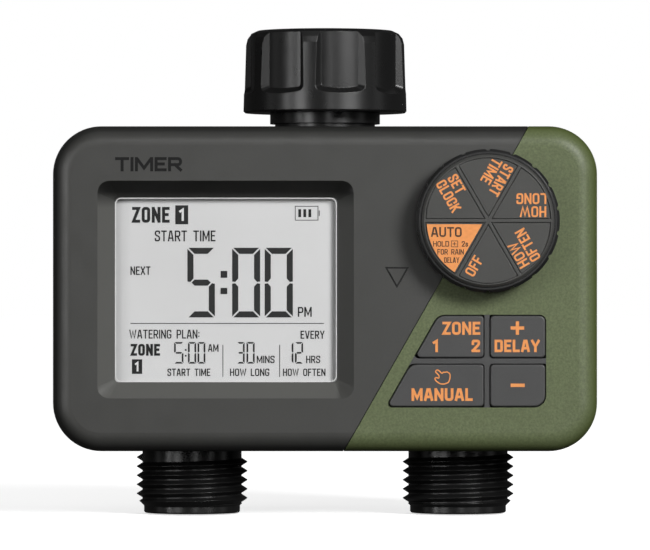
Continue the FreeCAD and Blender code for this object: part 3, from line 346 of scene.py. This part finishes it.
def liquid_crystal():
    """Pale display background, a little darker along its left side, with a painted shadow along its right
    side.
    """
    pale = linear("d5d5d5")
    look = Look("display_glass", Specular_IOR_Level=0.3)
    apart = look.add("ShaderNodeSeparateXYZ")
    look.link(look.place, apart.inputs["Vector"])
    left = look.spread(apart.outputs["X"], 1.0, 0.0, -0.0504, -0.0468)
    # painted shadow along the right side of the display
    right = look.spread(apart.outputs["X"], 0.0, 1.0, 0.0012, 0.0030)
    bloom = look.spread(look.noise(26, 2.0), 0.0, 1.0)
    field = look.blend(bloom, scaled(pale, 0.97), scaled(pale, 1.02))
    darker_left_field = look.blend(left, field, scaled(pale, 0.86))
    look.colour(look.blend(right, darker_left_field, scaled(pale, 0.80)))
    look.rough(look.spread(look.noise(0.5, 2.0), 0.5, 0.6))
    look.bump(look.noise(0.3, 2.0), 0.002)
    return look.material


looks = {
    "charcoal": moulded(
        "charcoal_plastic", scaled(CHARCOAL, 0.6), 0.40, 0.30, 0.006, Specular_IOR_Level=0.4
    ),
    "cover": cover_plastic(),
    "green": moulded(
        "green_plastic",
        GREEN,
        0.46,
        0.32,
        0.030,
        1.0,
        fleck=0.35,
        # painted shade on the green trim's rounded front edge and sides
        edge=linear("4c562e"),
        Specular_IOR_Level=0.35,
    ),
    "black": moulded("black_plastic", (0.012, 0.012, 0.012), 0.38, 0.5, 0.006, 1.8, 0.15),
    "gloss": moulded(
        "gloss_black_plastic",
        (0.008, 0.008, 0.008),
        0.28,
        0.35,
        0.0015,
        1.8,
        0.25,
        patchy=0.01,
        Specular_IOR_Level=0.5,
    ),
    "grey": moulded("grey_plastic", linear("424242"), 0.45, 0.26, 0.006, 1.7, 0.12),
    "dial": moulded("dial_grey_plastic", linear("40403e"), 0.42, 0.26, 0.005, 2.2, 0.15),
    "white": moulded("white_plastic", linear("dedcd4"), 0.45, 0.5, 0.006, 1.02),
    "seal": rubber("seal_rubber", (0.022, 0.022, 0.022)),
    "silicone": rubber("silicone", (0.30, 0.31, 0.31), 0.6),
    "membrane": rubber("membrane_rubber", (0.05, 0.05, 0.05)),
    "zinc": metal("zinc_steel", (0.62, 0.62, 0.64), 0.28, (1, 1, 1), (0.55, 0.55, 0.50)),
    "spring": metal("spring_steel", (0.66, 0.66, 0.68), 0.22, (1, 6, 1)),
    "magnet": metal("magnet_steel", (0.50, 0.50, 0.51), 0.30, (6, 1, 6)),
    "copper": winding(),
    "board": board(),
    "cell": jacket(),
    "lens": clear("clear_plastic", (0.20, 0.21, 0.21), 0.03, 0.06),
    "lcd": liquid_crystal(),
    "film": moulded("reflector_film", linear("e4e4df"), 0.6, 0.4, 0.004, 1.0),
    "red_wire": moulded("wire_sleeve", (0.34, 0.02, 0.015), 0.42, 0.6, 0.008, 1.3),
    "orange_ink": printed("orange_ink", PRINT_ORANGE),
    "brown_ink": printed("brown_ink", linear("45352a")),
    "dark_ink": printed("dark_ink", linear("040404")),
    "segment_ink": printed("segment_ink", linear("0e0e0e")),
    "digit_ink": printed("digit_ink", linear("1a1a1a")),
    "pale_ink": printed("pale_ink", linear("dcdcdc")),
    # painted highlight: a nearly opaque pale line standing in for the shine on the lens's rim
    "rim": clear("lens_edge_highlight_paint", (0.80, 0.80, 0.79), 0.9, 0.2),
}

NODE_LOOKS = {
    "charcoal": ("rear_cover", "battery_door"),
    "cover": ("front_cover",),
    "green": ("green_trim",),
    "black": ("dial_knob", "push_switches", "board_components", "battery_box"),
    "gloss": (
        "inlet_nut",
        "inlet_manifold",
        "outlet_spigot_left",
        "outlet_spigot_right",
        "valve_body_left",
        "valve_body_right",
    ),
    "grey": (
        "zone_button",
        "plus_button",
        "manual_button",
        "minus_button",
        "button_surround",
        "rotary_switch",
    ),
    "dial": ("dial_face",),
    "white": (
        "lcd_holder",
        "wire_connectors",
        "inlet_strainer",
        "valve_disc_left",
        "valve_disc_right",
        "bonnet_left",
        "bonnet_right",
        "bobbin_left",
        "bobbin_right",
    ),
    "seal": (
        "cover_seal",
        "battery_door_seal",
        "dial_seal_ring",
        "inlet_washer",
        "port_o_rings",
        "diaphragm_left",
        "diaphragm_right",
    ),
    "silicone": ("contact_strips",),
    "membrane": ("lens_gasket", "keypad_membrane"),
    "zinc": ("cover_screws", "board_screws", "bonnet_screws", "yoke_left", "yoke_right"),
    "spring": ("plunger_spring_left", "plunger_spring_right", "battery_springs", "battery_contacts"),
    "magnet": ("plunger_left", "plunger_right"),
    "copper": ("coil_winding_left", "coil_winding_right"),
    "board": ("main_board",),
    "cell": ("battery_cells",),
    "lens": ("display_lens",),
    "lcd": ("lcd_glass",),
    "film": ("lcd_reflector",),
    "red_wire": ("solenoid_wires", "battery_wires"),
}

for look_name, members in NODE_LOOKS.items():
    for member in members:
        shown = nodes[member]
        shown.data.materials.clear()
        shown.data.materials.append(looks[look_name])


# ---- flat print ---------------------------------------------------------

# Each glyph is its width over its height, then its strokes. A stroke is
# closed or open, rounded or sharp, then its points in a unit square.
GLYPHS = {
    "A": (
        0.50,
        ("open", "sharp", (0, 0), (0.36, 1), (0.64, 1), (1, 0)),
        ("open", "sharp", (0.2, 0.27), (0.8, 0.27)),
    ),
    "C": (0.46, ("open", "round", (1, 0.68), (1, 1), (0, 1), (0, 0), (1, 0), (1, 0.32))),
    "D": (
        0.46,
        ("open", "round", (0.5, 0), (1, 0), (1, 1), (0.5, 1)),
        ("open", "sharp", (0.5, 1), (0, 1), (0, 0), (0.5, 0)),
    ),
    "E": (
        0.38,
        ("open", "sharp", (1, 1), (0, 1), (0, 0), (1, 0)),
        ("open", "sharp", (0, 0.52), (0.8, 0.52)),
    ),
    "F": (0.38, ("open", "sharp", (1, 1), (0, 1), (0, 0)), ("open", "sharp", (0, 0.5), (0.8, 0.5))),
    "G": (
        0.46,
        ("open", "round", (1, 0.80), (1, 1), (0, 1), (0, 0), (1, 0), (1, 0.42)),
        ("open", "sharp", (1, 0.42), (0.62, 0.42)),
    ),
    "H": (
        0.46,
        ("open", "sharp", (0, 0), (0, 1)),
        ("open", "sharp", (1, 0), (1, 1)),
        ("open", "sharp", (0, 0.52), (1, 0.52)),
    ),
    "I": (0.0, ("open", "sharp", (0, 0), (0, 1))),
    "K": (
        0.46,
        ("open", "sharp", (0, 0), (0, 1)),
        ("open", "sharp", (1, 1), (0, 0.4)),
        ("open", "sharp", (0.36, 0.6), (1, 0)),
    ),
    "L": (0.36, ("open", "sharp", (0, 1), (0, 0), (1, 0))),
    "M": (
        0.64,
        ("open", "sharp", (0, 0), (0, 1)),
        ("open", "sharp", (1, 0), (1, 1)),
        ("open", "sharp", (0.06, 0.96), (0.5, 0.16), (0.94, 0.96)),
    ),
    "N": (
        0.48,
        ("open", "sharp", (0, 0), (0, 1)),
        ("open", "sharp", (1, 0), (1, 1)),
        ("open", "sharp", (0.04, 0.98), (0.96, 0.02)),
    ),
    "O": (0.46, ("closed", "round", (0, 0), (1, 0), (1, 1), (0, 1))),
    "P": (
        0.44,
        ("open", "sharp", (0, 0), (0, 1)),
        ("open", "round", (0, 1), (1, 1), (1, 0.44), (0, 0.44)),
    ),
    "R": (
        0.46,
        ("open", "sharp", (0, 0), (0, 1)),
        ("open", "round", (0, 1), (1, 1), (1, 0.46), (0, 0.46)),
        ("open", "sharp", (0.5, 0.46), (1, 0)),
    ),
    "S": (
        0.44,
        ("open", "round", (1, 0.80), (1, 1), (0, 1), (0, 0.60), (1, 0.42), (1, 0), (0, 0), (0, 0.20)),
    ),
    "T": (0.46, ("open", "sharp", (0, 1), (1, 1)), ("open", "sharp", (0.5, 0), (0.5, 1))),
    "U": (0.46, ("open", "round", (0, 1), (0, 0), (1, 0), (1, 1))),
    "V": (0.50, ("open", "sharp", (0, 1), (0.42, 0), (0.58, 0), (1, 1))),
    "W": (0.78, ("open", "sharp", (0, 1), (0.24, 0), (0.5, 0.9), (0.76, 0), (1, 1))),
    "X": (0.48, ("open", "sharp", (0, 0), (1, 1)), ("open", "sharp", (0, 1), (1, 0))),
    "Y": (
        0.50,
        ("open", "sharp", (0, 1), (0.5, 0.42), (1, 1)),
        ("open", "sharp", (0.5, 0.42), (0.5, 0)),
    ),
    "Z": (0.42, ("open", "sharp", (0, 1), (1, 1), (0, 0), (1, 0))),
    "1": (0.20, ("open", "sharp", (0, 0.84), (1, 1), (1, 0))),
    "2": (
        0.42,
        ("open", "round", (0, 0.72), (0, 1), (1, 1), (1, 0.66), (0, 0.02)),
        ("open", "sharp", (0, 0), (1, 0)),
    ),
    "+": (0.62, ("open", "sharp", (0, 0.5), (1, 0.5)), ("open", "sharp", (0.5, 0.12), (0.5, 0.88))),
    ":": (0.0, ("open", "sharp", (0, 0.22), (0, 0.23)), ("open", "sharp", (0, 0.68), (0, 0.69))),
    "s": (
        0.30,
        ("open", "round", (1, 0.5), (1, 0.66), (0, 0.66), (0, 0.38), (1, 0.28), (1, 0), (0, 0), (0, 0.16)),
    ),
}

HAND = (
    (0.30, 0.60),
    (0.04, 0.88),
    (0.14, 1.0),
    (0.26, 0.98),
    (0.48, 0.74),
    (0.56, 0.86),
    (0.70, 0.82),
    (0.78, 0.88),
    (0.92, 0.80),
    (1.0, 0.70),
    (1.0, 0.40),
    (0.90, 0.12),
    (0.62, 0.0),
    (0.36, 0.02),
    (0.10, 0.22),
    (0.0, 0.38),
    (0.10, 0.48),
    (0.28, 0.40),
)


def rounded(points, radius, closed):
    """The same line with its inner corners turned into short arcs."""
    count = len(points)
    made = []
    for i, (x, y) in enumerate(points):
        if not closed and i in (0, count - 1):
            made.append((x, y))
            continue
        ax, ay = points[i - 1]
        bx, by = points[(i + 1) % count]
        to_a = math.hypot(ax - x, ay - y)
        to_b = math.hypot(bx - x, by - y)
        reach = min(radius, to_a * 0.48, to_b * 0.48)
        start = (x + (ax - x) * reach / to_a, y + (ay - y) * reach / to_a)
        end = (x + (bx - x) * reach / to_b, y + (by - y) * reach / to_b)
        for step in range(6):
            t = step / 5
            weights = ((1 - t) ** 2, 2 * t * (1 - t), t * t)
            ends = zip(start, (x, y), end)
            made.append(tuple(sum(w * value for w, value in zip(weights, axis)) for axis in ends))
    return made


class Print:
    """Flat print gathered into one thin mesh facing -Y."""

    def __init__(self, name, front, body, look, slot, thickness=0.03):
        self.name = name
        self.front = front
        self.body = body
        self.look = look
        self.slot = slot
        self.thickness = thickness
        self.turn = 0.0
        self.centre = (0.0, 0.0)
        self.vertices = []
        self.faces = []

    def point(self, x, z):
        """A point of the upright layout, turned about the centre."""
        c, s = math.cos(self.turn), math.sin(self.turn)
        return self.centre[0] + x * c - z * s, self.centre[1] + x * s + z * c

    def patch(self, outline):
        """A filled convex outline, counter-clockwise as seen from the front."""
        first = len(self.vertices)
        count = len(outline)
        raised = self.front - self.thickness - 0.002 * (len(self.faces) % 11)
        for depth in (raised, self.front):
            for x, z in outline:
                px, pz = self.point(x, z)
                self.vertices.append((px * MM, depth * MM, (pz - MOUTH_HEIGHT) * MM))
        self.faces.append(tuple(range(first, first + count)))
        for i in range(count):
            j = (i + 1) % count
            self.faces.append((first + i, first + count + i, first + count + j, first + j))

    def box(self, x0, x1, z0, z1):
        self.patch(((x0, z0), (x1, z0), (x1, z1), (x0, z1)))

    def stroke(self, points, half, closed=False, capped=True):
        """A line of even width with mitred corners."""
        points = list(points)
        count = len(points)
        if capped and not closed:
            for end, neighbour in ((0, 1), (-1, -2)):
                ex, ez = points[end]
                nx, nz = points[neighbour]
                size = math.hypot(ex - nx, ez - nz)
                points[end] = (ex + (ex - nx) / size * half, ez + (ez - nz) / size * half)
        sides = []
        for i in range(count):
            before = points[i - 1] if closed or i else None
            after = points[(i + 1) % count] if closed or i < count - 1 else None
            normals = []
            for a, b in ((before, points[i]), (points[i], after)):
                if a is None or b is None:
                    continue
                size = math.hypot(b[0] - a[0], b[1] - a[1])
                normals.append((-(b[1] - a[1]) / size, (b[0] - a[0]) / size))
            nx = sum(n[0] for n in normals)
            nz = sum(n[1] for n in normals)
            size = math.hypot(nx, nz)
            lean = max(0.5, size / len(normals))
            reach = half / lean / size
            x, z = points[i]
            sides.append(((x + nx * reach, z + nz * reach), (x - nx * reach, z - nz * reach)))
        for i in range(count if closed else count - 1):
            left, right = sides[i]
            left_next, right_next = sides[(i + 1) % count]
            self.patch((right, right_next, left_next, left))

    def words(self, text, x0, x1, z0, z1, half):
        """Text stretched to fill its box exactly."""
        height = z1 - z0
        inner = height - 2 * half
        space = 0.26 * height
        gap = 2 * half + 0.10 * height
        free = sum(GLYPHS[c][0] * height for c in text if c != " ")
        fixed = gap * (len(text) - 1) + space * text.count(" ") + 2 * half
        stretch = (x1 - x0 - fixed) / free if free else 1.0
        x = x0 + half
        for c in text:
            if c == " ":
                x += space + gap
                continue
            width = GLYPHS[c][0] * height * stretch
            for form, corners, *points in GLYPHS[c][1:]:
                line = [(x + u * width, z0 + half + v * inner) for u, v in points]
                closed = form == "closed"
                if corners == "round":
                    line = rounded(line, 0.42 * max(width, 0.3 * height), closed)
                self.stroke(line, half, closed)
            x += width + gap

    def digit(self, lit, x0, x1, z0, z1, wide, gap):
        """A seven-segment figure: lit names its segments from a to g."""
        middle = (z0 + z1) / 2
        half = wide / 2
        parts = {
            "a": (
                (x0 + gap + wide, z1 - wide),
                (x1 - gap - wide, z1 - wide),
                (x1 - gap, z1),
                (x0 + gap, z1),
            ),
            "d": (
                (x0 + gap, z0),
                (x1 - gap, z0),
                (x1 - gap - wide, z0 + wide),
                (x0 + gap + wide, z0 + wide),
            ),
            "f": (
                (x0, middle + gap),
                (x0 + half, middle + gap * 0.6),
                (x0 + wide, middle + half + gap),
                (x0 + wide, z1 - wide - gap),
                (x0, z1 - gap),
            ),
            "b": (
                (x1 - wide, middle + half + gap),
                (x1 - half, middle + gap * 0.6),
                (x1, middle + gap),
                (x1, z1 - gap),
                (x1 - wide, z1 - wide - gap),
            ),
            "e": (
                (x0, z0 + gap),
                (x0 + wide, z0 + wide + gap),
                (x0 + wide, middle - half - gap),
                (x0 + half, middle - gap * 0.6),
                (x0, middle - gap),
            ),
            "c": (
                (x1 - wide, z0 + wide + gap),
                (x1, z0 + gap),
                (x1, middle - gap),
                (x1 - half, middle - gap * 0.6),
                (x1 - wide, middle - half - gap),
            ),
            "g": (
                (x0 + wide + gap, middle - half),
                (x1 - wide - gap, middle - half),
                (x1 - half - gap, middle),
                (x1 - wide - gap, middle + half),
                (x0 + wide + gap, middle + half),
                (x0 + half + gap, middle),
            ),
        }
        for name in lit:
            self.patch(parts[name])

    def make(self):
        mesh = bpy.data.meshes.new(self.name)
        mesh.from_pydata(self.vertices, [], self.faces)
        mesh.materials.append(looks[self.look])
        piece = bpy.data.objects.new(self.name, mesh)
        bpy.context.scene.collection.objects.link(piece)
        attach(piece, self.body)
        return piece


def display_print():
    ink = Print("display_segments", GLASS_FRONT - 0.02, "housing", "segment_ink", "display_glass")
    ink.words("ZONE", -46.33, -37.32, 15.86, 19.65, 0.36)
    ink.box(-35.95, -32.86, 15.48, 20.05)
    ink.words("START TIME", -40.89, -26.29, 11.38, 13.99, 0.17)
    ink.words("NEXT", -46.72, -41.92, 3.32, 5.36, 0.14)
    ink.words("PM", -6.52, -3.19, -6.74, -4.37, 0.17)
    digits = Print("display_digits", GLASS_FRONT - 0.02, "housing", "digit_ink", "display_glass")
    digits.digit("afgcd", -33.05, -26.44, -6.89, 9.84, 1.46, 0.26)
    digits.digit("abcdef", -22.29, -15.58, -6.89, 9.84, 1.46, 0.26)
    digits.digit("abcdef", -14.48, -7.72, -6.89, 9.84, 1.46, 0.26)
    digits.box(-25.07, -23.47, 2.63, 4.28)
    digits.box(-25.07, -23.47, -1.28, 0.21)
    digits.make()

    corners = [(-7.14, 16.48), (-1.68, 16.48), (-1.68, 19.81), (-7.14, 19.81)]
    ink.stroke(corners, 0.08, closed=True)
    ink.box(-1.46, -1.26, 17.50, 18.80)
    for left in (-6.42, -5.20, -3.98):
        ink.box(left, left + 0.68, 17.20, 19.10)

    ink.box(-46.72, -0.26, -8.42, -8.24)
    ink.words("WATERING PLAN:", -47.0, -30.15, -11.97, -9.84, 0.14)
    ink.words("EVERY", -5.87, -0.12, -12.02, -10.07, 0.14)
    ink.words("ZONE", -46.67, -39.62, -16.09, -13.26, 0.30)
    ink.box(-46.38, -43.91, -20.45, -16.95)
    small = (-17.98, -12.81, 0.40, 0.12)
    ink.digit("afgcd", -36.24, -34.00, *small)
    ink.digit("abcdef", -32.90, -30.95, *small)
    ink.digit("abcdef", -30.60, -28.74, *small)
    ink.box(-33.66, -33.26, -14.90, -14.50)
    ink.box(-33.66, -33.26, -16.30, -15.90)
    ink.words("AM", -28.09, -25.58, -15.13, -13.33, 0.13)
    ink.box(-24.61, -24.45, -21.17, -13.50)
    ink.digit("abgcd", -21.12, -19.30, *small)
    ink.digit("abcdef", -18.85, -16.90, *small)
    ink.words("MINS", -16.40, -12.10, -17.86, -16.09, 0.13)
    ink.box(-10.96, -10.80, -21.17, -13.50)
    ink.digit("bc", -9.20, -7.60, *small)
    ink.digit("abged", -7.20, -5.27, *small)
    ink.words("HRS", -4.53, -1.15, -17.86, -16.09, 0.13)
    ink.words("START TIME", -37.85, -27.54, -20.96, -19.18, 0.13)
    ink.words("HOW LONG", -22.82, -13.37, -20.96, -19.18, 0.13)
    ink.words("HOW OFTEN", -10.09, 0.12, -20.96, -19.18, 0.13)
    ink.make()

    pale = Print("display_zone_numbers", GLASS_FRONT - 0.06, "housing", "pale_ink", "display_glass")
    pale.words("1", -35.00, -33.90, 16.30, 19.25, 0.27)
    pale.words("1", -45.65, -44.80, -19.85, -17.55, 0.22)
    pale.make()


def keypad_print():
    zone = Print("zone_button_print", CAP_FRONT, "zone_button", "orange_ink", "grey_plastic")
    zone.words("ZONE", 28.07, 37.12, -10.99, -7.88, 0.31)
    zone.words("1", 25.75, 27.00, -15.14, -12.16, 0.31)
    zone.words("2", 35.05, 37.08, -15.14, -12.16, 0.31)
    zone.make()
    plus = Print("plus_button_print", CAP_FRONT, "plus_button", "orange_ink", "grey_plastic")
    plus.box(44.39, 47.61, -9.76, -8.98)
    plus.box(45.61, 46.39, -10.99, -9.76)
    plus.box(45.61, 46.39, -8.98, -7.76)
    plus.words("DELAY", 40.54, 51.36, -15.14, -12.16, 0.31)
    plus.make()
    manual = Print("manual_button_print", CAP_FRONT, "manual_button", "orange_ink", "grey_plastic")
    manual.words("MANUAL", 20.69, 35.31, -26.80, -23.77, 0.32)
    hand = [(26.2 + 3.7 * u, -22.8 + 3.4 * v) for u, v in HAND]
    manual.stroke(rounded(hand, 0.35, True), 0.14, closed=True)
    manual.make()
    minus = Print("minus_button_print", CAP_FRONT, "minus_button", "orange_ink", "grey_plastic")
    minus.box(44.39, 47.75, -23.48, -22.66)
    minus.make()


def dial_print():
    orange = Print("dial_print", SECTOR_FRONT, "dial", "orange_ink", "grey_plastic")
    orange.centre = DIAL_CENTRE
    labels = (
        (150, (("SET", -13.6, -9.0, -3.45, -0.85), ("CLOCK", -13.8, -5.8, -6.55, -3.95))),
        (90, (("START", -13.8, -5.9, -3.45, -0.85), ("TIME", -13.8, -7.4, -6.55, -3.95))),
        (30, (("HOW", -13.8, -7.5, -3.45, -0.85), ("LONG", -13.8, -6.7, -6.55, -3.95))),
        (330, (("HOW", -13.8, -7.5, -3.45, -0.85), ("OFTEN", -13.8, -5.6, -6.55, -3.95))),
        (270, (("OFF", -13.4, -8.6, -3.75, -1.15),)),
    )
    for middle, lines in labels:
        orange.turn = math.radians(middle - 210)
        for text, x0, x1, z0, z1 in lines:
            orange.words(text, x0, x1, z0, z1, 0.22)
    orange.turn = 0.0
    radius = 14.60
    inset = 0.83
    first = math.pi + math.asin(inset / radius)
    last = math.radians(240) - math.asin(inset / radius)
    outline = [(-inset / math.tan(math.radians(30)), -inset)]
    for step in range(17):
        angle = first + (last - first) * step / 16
        outline.append((radius * math.cos(angle), radius * math.sin(angle)))
    orange.patch(outline)
    orange.make()

    brown = Print("dial_auto_print", SECTOR_FRONT - 0.04, "dial", "brown_ink", "grey_plastic")
    brown.centre = DIAL_CENTRE
    brown.words("AUTO", -13.6, -6.3, -3.85, -1.50, 0.20)
    brown.words("HOLD", -13.1, -9.3, -6.15, -4.85, 0.10)
    brown.stroke(((-8.75, -6.2), (-7.25, -6.2), (-7.25, -4.8), (-8.75, -4.8)), 0.07, closed=True)
    brown.words("+", -8.45, -7.55, -6.0, -5.0, 0.08)
    brown.words("2s", -6.3, -4.8, -6.15, -4.85, 0.10)
    brown.words("FOR RAIN", -12.1, -5.8, -8.05, -6.75, 0.10)
    brown.words("DELAY", -10.5, -6.9, -10.0, -8.70, 0.10)
    brown.make()


def cover_print():
    label = Print("cover_print", COVER_FRONT, "housing", "dark_ink", "charcoal_plastic")
    label.words("TIMER", -50.2, -34.2, 28.1, 31.5, 0.36)
    label.make()


def lens_edge_highlight_line():
    """A painted highlight of the lens's rim: a thin pale line inside the window."""
    edge = Print("lens_edge_highlight_line", LENS_FRONT, "housing", "rim", "clear_plastic", 0.06)
    corners = [(-50.22, -22.22), (2.72, -22.22), (2.72, 21.72), (-50.22, 21.72)]
    edge.stroke(rounded(corners, 1.5, True), 0.10, closed=True)
    edge.make()


display_print()
keypad_print()
dial_print()
cover_print()
lens_edge_highlight_line()


# ---- stage --------------------------------------------------------------

def floor():
    """A pale floor that fades into the white background further out."""
    level = cad_box[0][2] - 0.0003
    half = 6.0
    mesh = bpy.data.meshes.new("floor")
    mesh.from_pydata(
        [(-half, -half, level), (half, -half, level), (half, half, level), (-half, half, level)],
        [],
        [(0, 1, 2, 3)],
    )
    look = Look("pale_floor", Roughness=0.9, Specular_IOR_Level=0.1)
    shade = look.spread(look.noise(300, 2.0), 0.0, 1.0)
    distance = look.add("ShaderNodeVectorMath", operation="LENGTH")
    look.link(look.place, distance.inputs[0])
    far = look.spread(distance.outputs["Value"], 0.0, 1.0, 0.12, 0.9)
    near_colour = look.blend(shade, (0.86, 0.86, 0.86), (0.90, 0.90, 0.90))
    look.colour(look.blend(far, near_colour, (0.02, 0.02, 0.02)))
    look.shader.inputs["Emission Color"].default_value = (1, 1, 1, 1)
    look.link(look.spread(far, 0.62, 1.0, 0, 1), look.shader.inputs["Emission Strength"])
    mesh.materials.append(look.material)
    ground = bpy.data.objects.new("floor", mesh)
    ground.visible_glossy = False
    ground.visible_diffuse = False
    bpy.context.scene.collection.objects.link(ground)


def softbox(name, place, aim, width, height, power, glossy=True):
    """A rectangular light in metres and watts, turned towards its aim."""
    data = bpy.data.lights.new(name, "AREA")
    data.shape = "RECTANGLE"
    data.size = width
    data.size_y = height
    data.energy = power
    lamp = bpy.data.objects.new(name, data)
    lamp.location = place
    direction = [a - p for a, p in zip(aim, place)]
    yaw = math.atan2(direction[1], direction[0]) - math.pi / 2
    pitch = math.atan2(direction[2], math.hypot(direction[0], direction[1])) + math.pi / 2
    lamp.rotation_euler = (pitch, 0, yaw)
    lamp.visible_glossy = glossy
    bpy.context.scene.collection.objects.link(lamp)


def studio():
    """A white background and the lights; the two at the back leave no highlights."""
    world = bpy.data.worlds.new("studio")
    world.use_nodes = True
    tree = world.node_tree
    shown = tree.nodes["Background"]
    shown.inputs["Color"].default_value = (1, 1, 1, 1)
    shown.inputs["Strength"].default_value = 1.0
    lit = tree.nodes.new("ShaderNodeBackground")
    lit.inputs["Color"].default_value = (1, 1, 1, 1)
    lit.inputs["Strength"].default_value = 0.03
    path = tree.nodes.new("ShaderNodeLightPath")
    mix = tree.nodes.new("ShaderNodeMixShader")
    tree.links.new(path.outputs["Is Camera Ray"], mix.inputs["Fac"])
    tree.links.new(lit.outputs["Background"], mix.inputs[1])
    tree.links.new(shown.outputs["Background"], mix.inputs[2])
    tree.links.new(mix.outputs["Shader"], tree.nodes["World Output"].inputs["Surface"])
    bpy.context.scene.world = world
    middle = (0.0, 0.0, -0.06)
    softbox("key", (0.80, -1.15, 0.52), middle, 0.5, 0.5, 22.5)
    softbox("left_fill", (-0.80, -1.15, 0.10), middle, 0.35, 0.5, 3.2)
    softbox("front", (0.22, -1.55, 0.0), middle, 0.10, 0.5, 0.9)
    softbox("upper_band", (0.0, -1.05, 0.62), middle, 1.2, 0.06, 1.6)
    softbox("overhead", (0.0, -0.15, 0.85), middle, 0.9, 0.2, 0.25)
    softbox("right_side", (0.95, -0.15, 0.0), middle, 0.25, 0.7, 0.25)
    softbox("right_thin", (0.72, -0.75, 0.05), middle, 0.03, 0.9, 0.35)
    softbox("left_band", (-0.85, -0.60, 0.0), middle, 0.06, 0.8, 1.5)
    softbox("left_side", (-0.95, -0.12, 0.0), middle, 0.2, 0.6, 0.15)
    softbox("back_right", (0.70, 1.20, 0.12), middle, 0.5, 0.5, 14, glossy=False)
    softbox("back_left", (-0.80, 1.15, 0.20), middle, 0.4, 0.5, 7, glossy=False)
    bpy.context.scene.view_settings.view_transform = "Standard"


def camera():
    data = bpy.data.cameras.new("camera")
    data.sensor_width = 36
    data.lens = 295
    view = bpy.data.objects.new("camera", data)
    view.location = (0, -1.300, -0.0595)
    view.rotation_euler = (math.radians(90), 0, 0)
    bpy.context.scene.collection.objects.link(view)
    bpy.context.scene.camera = view


floor()
studio()
camera()
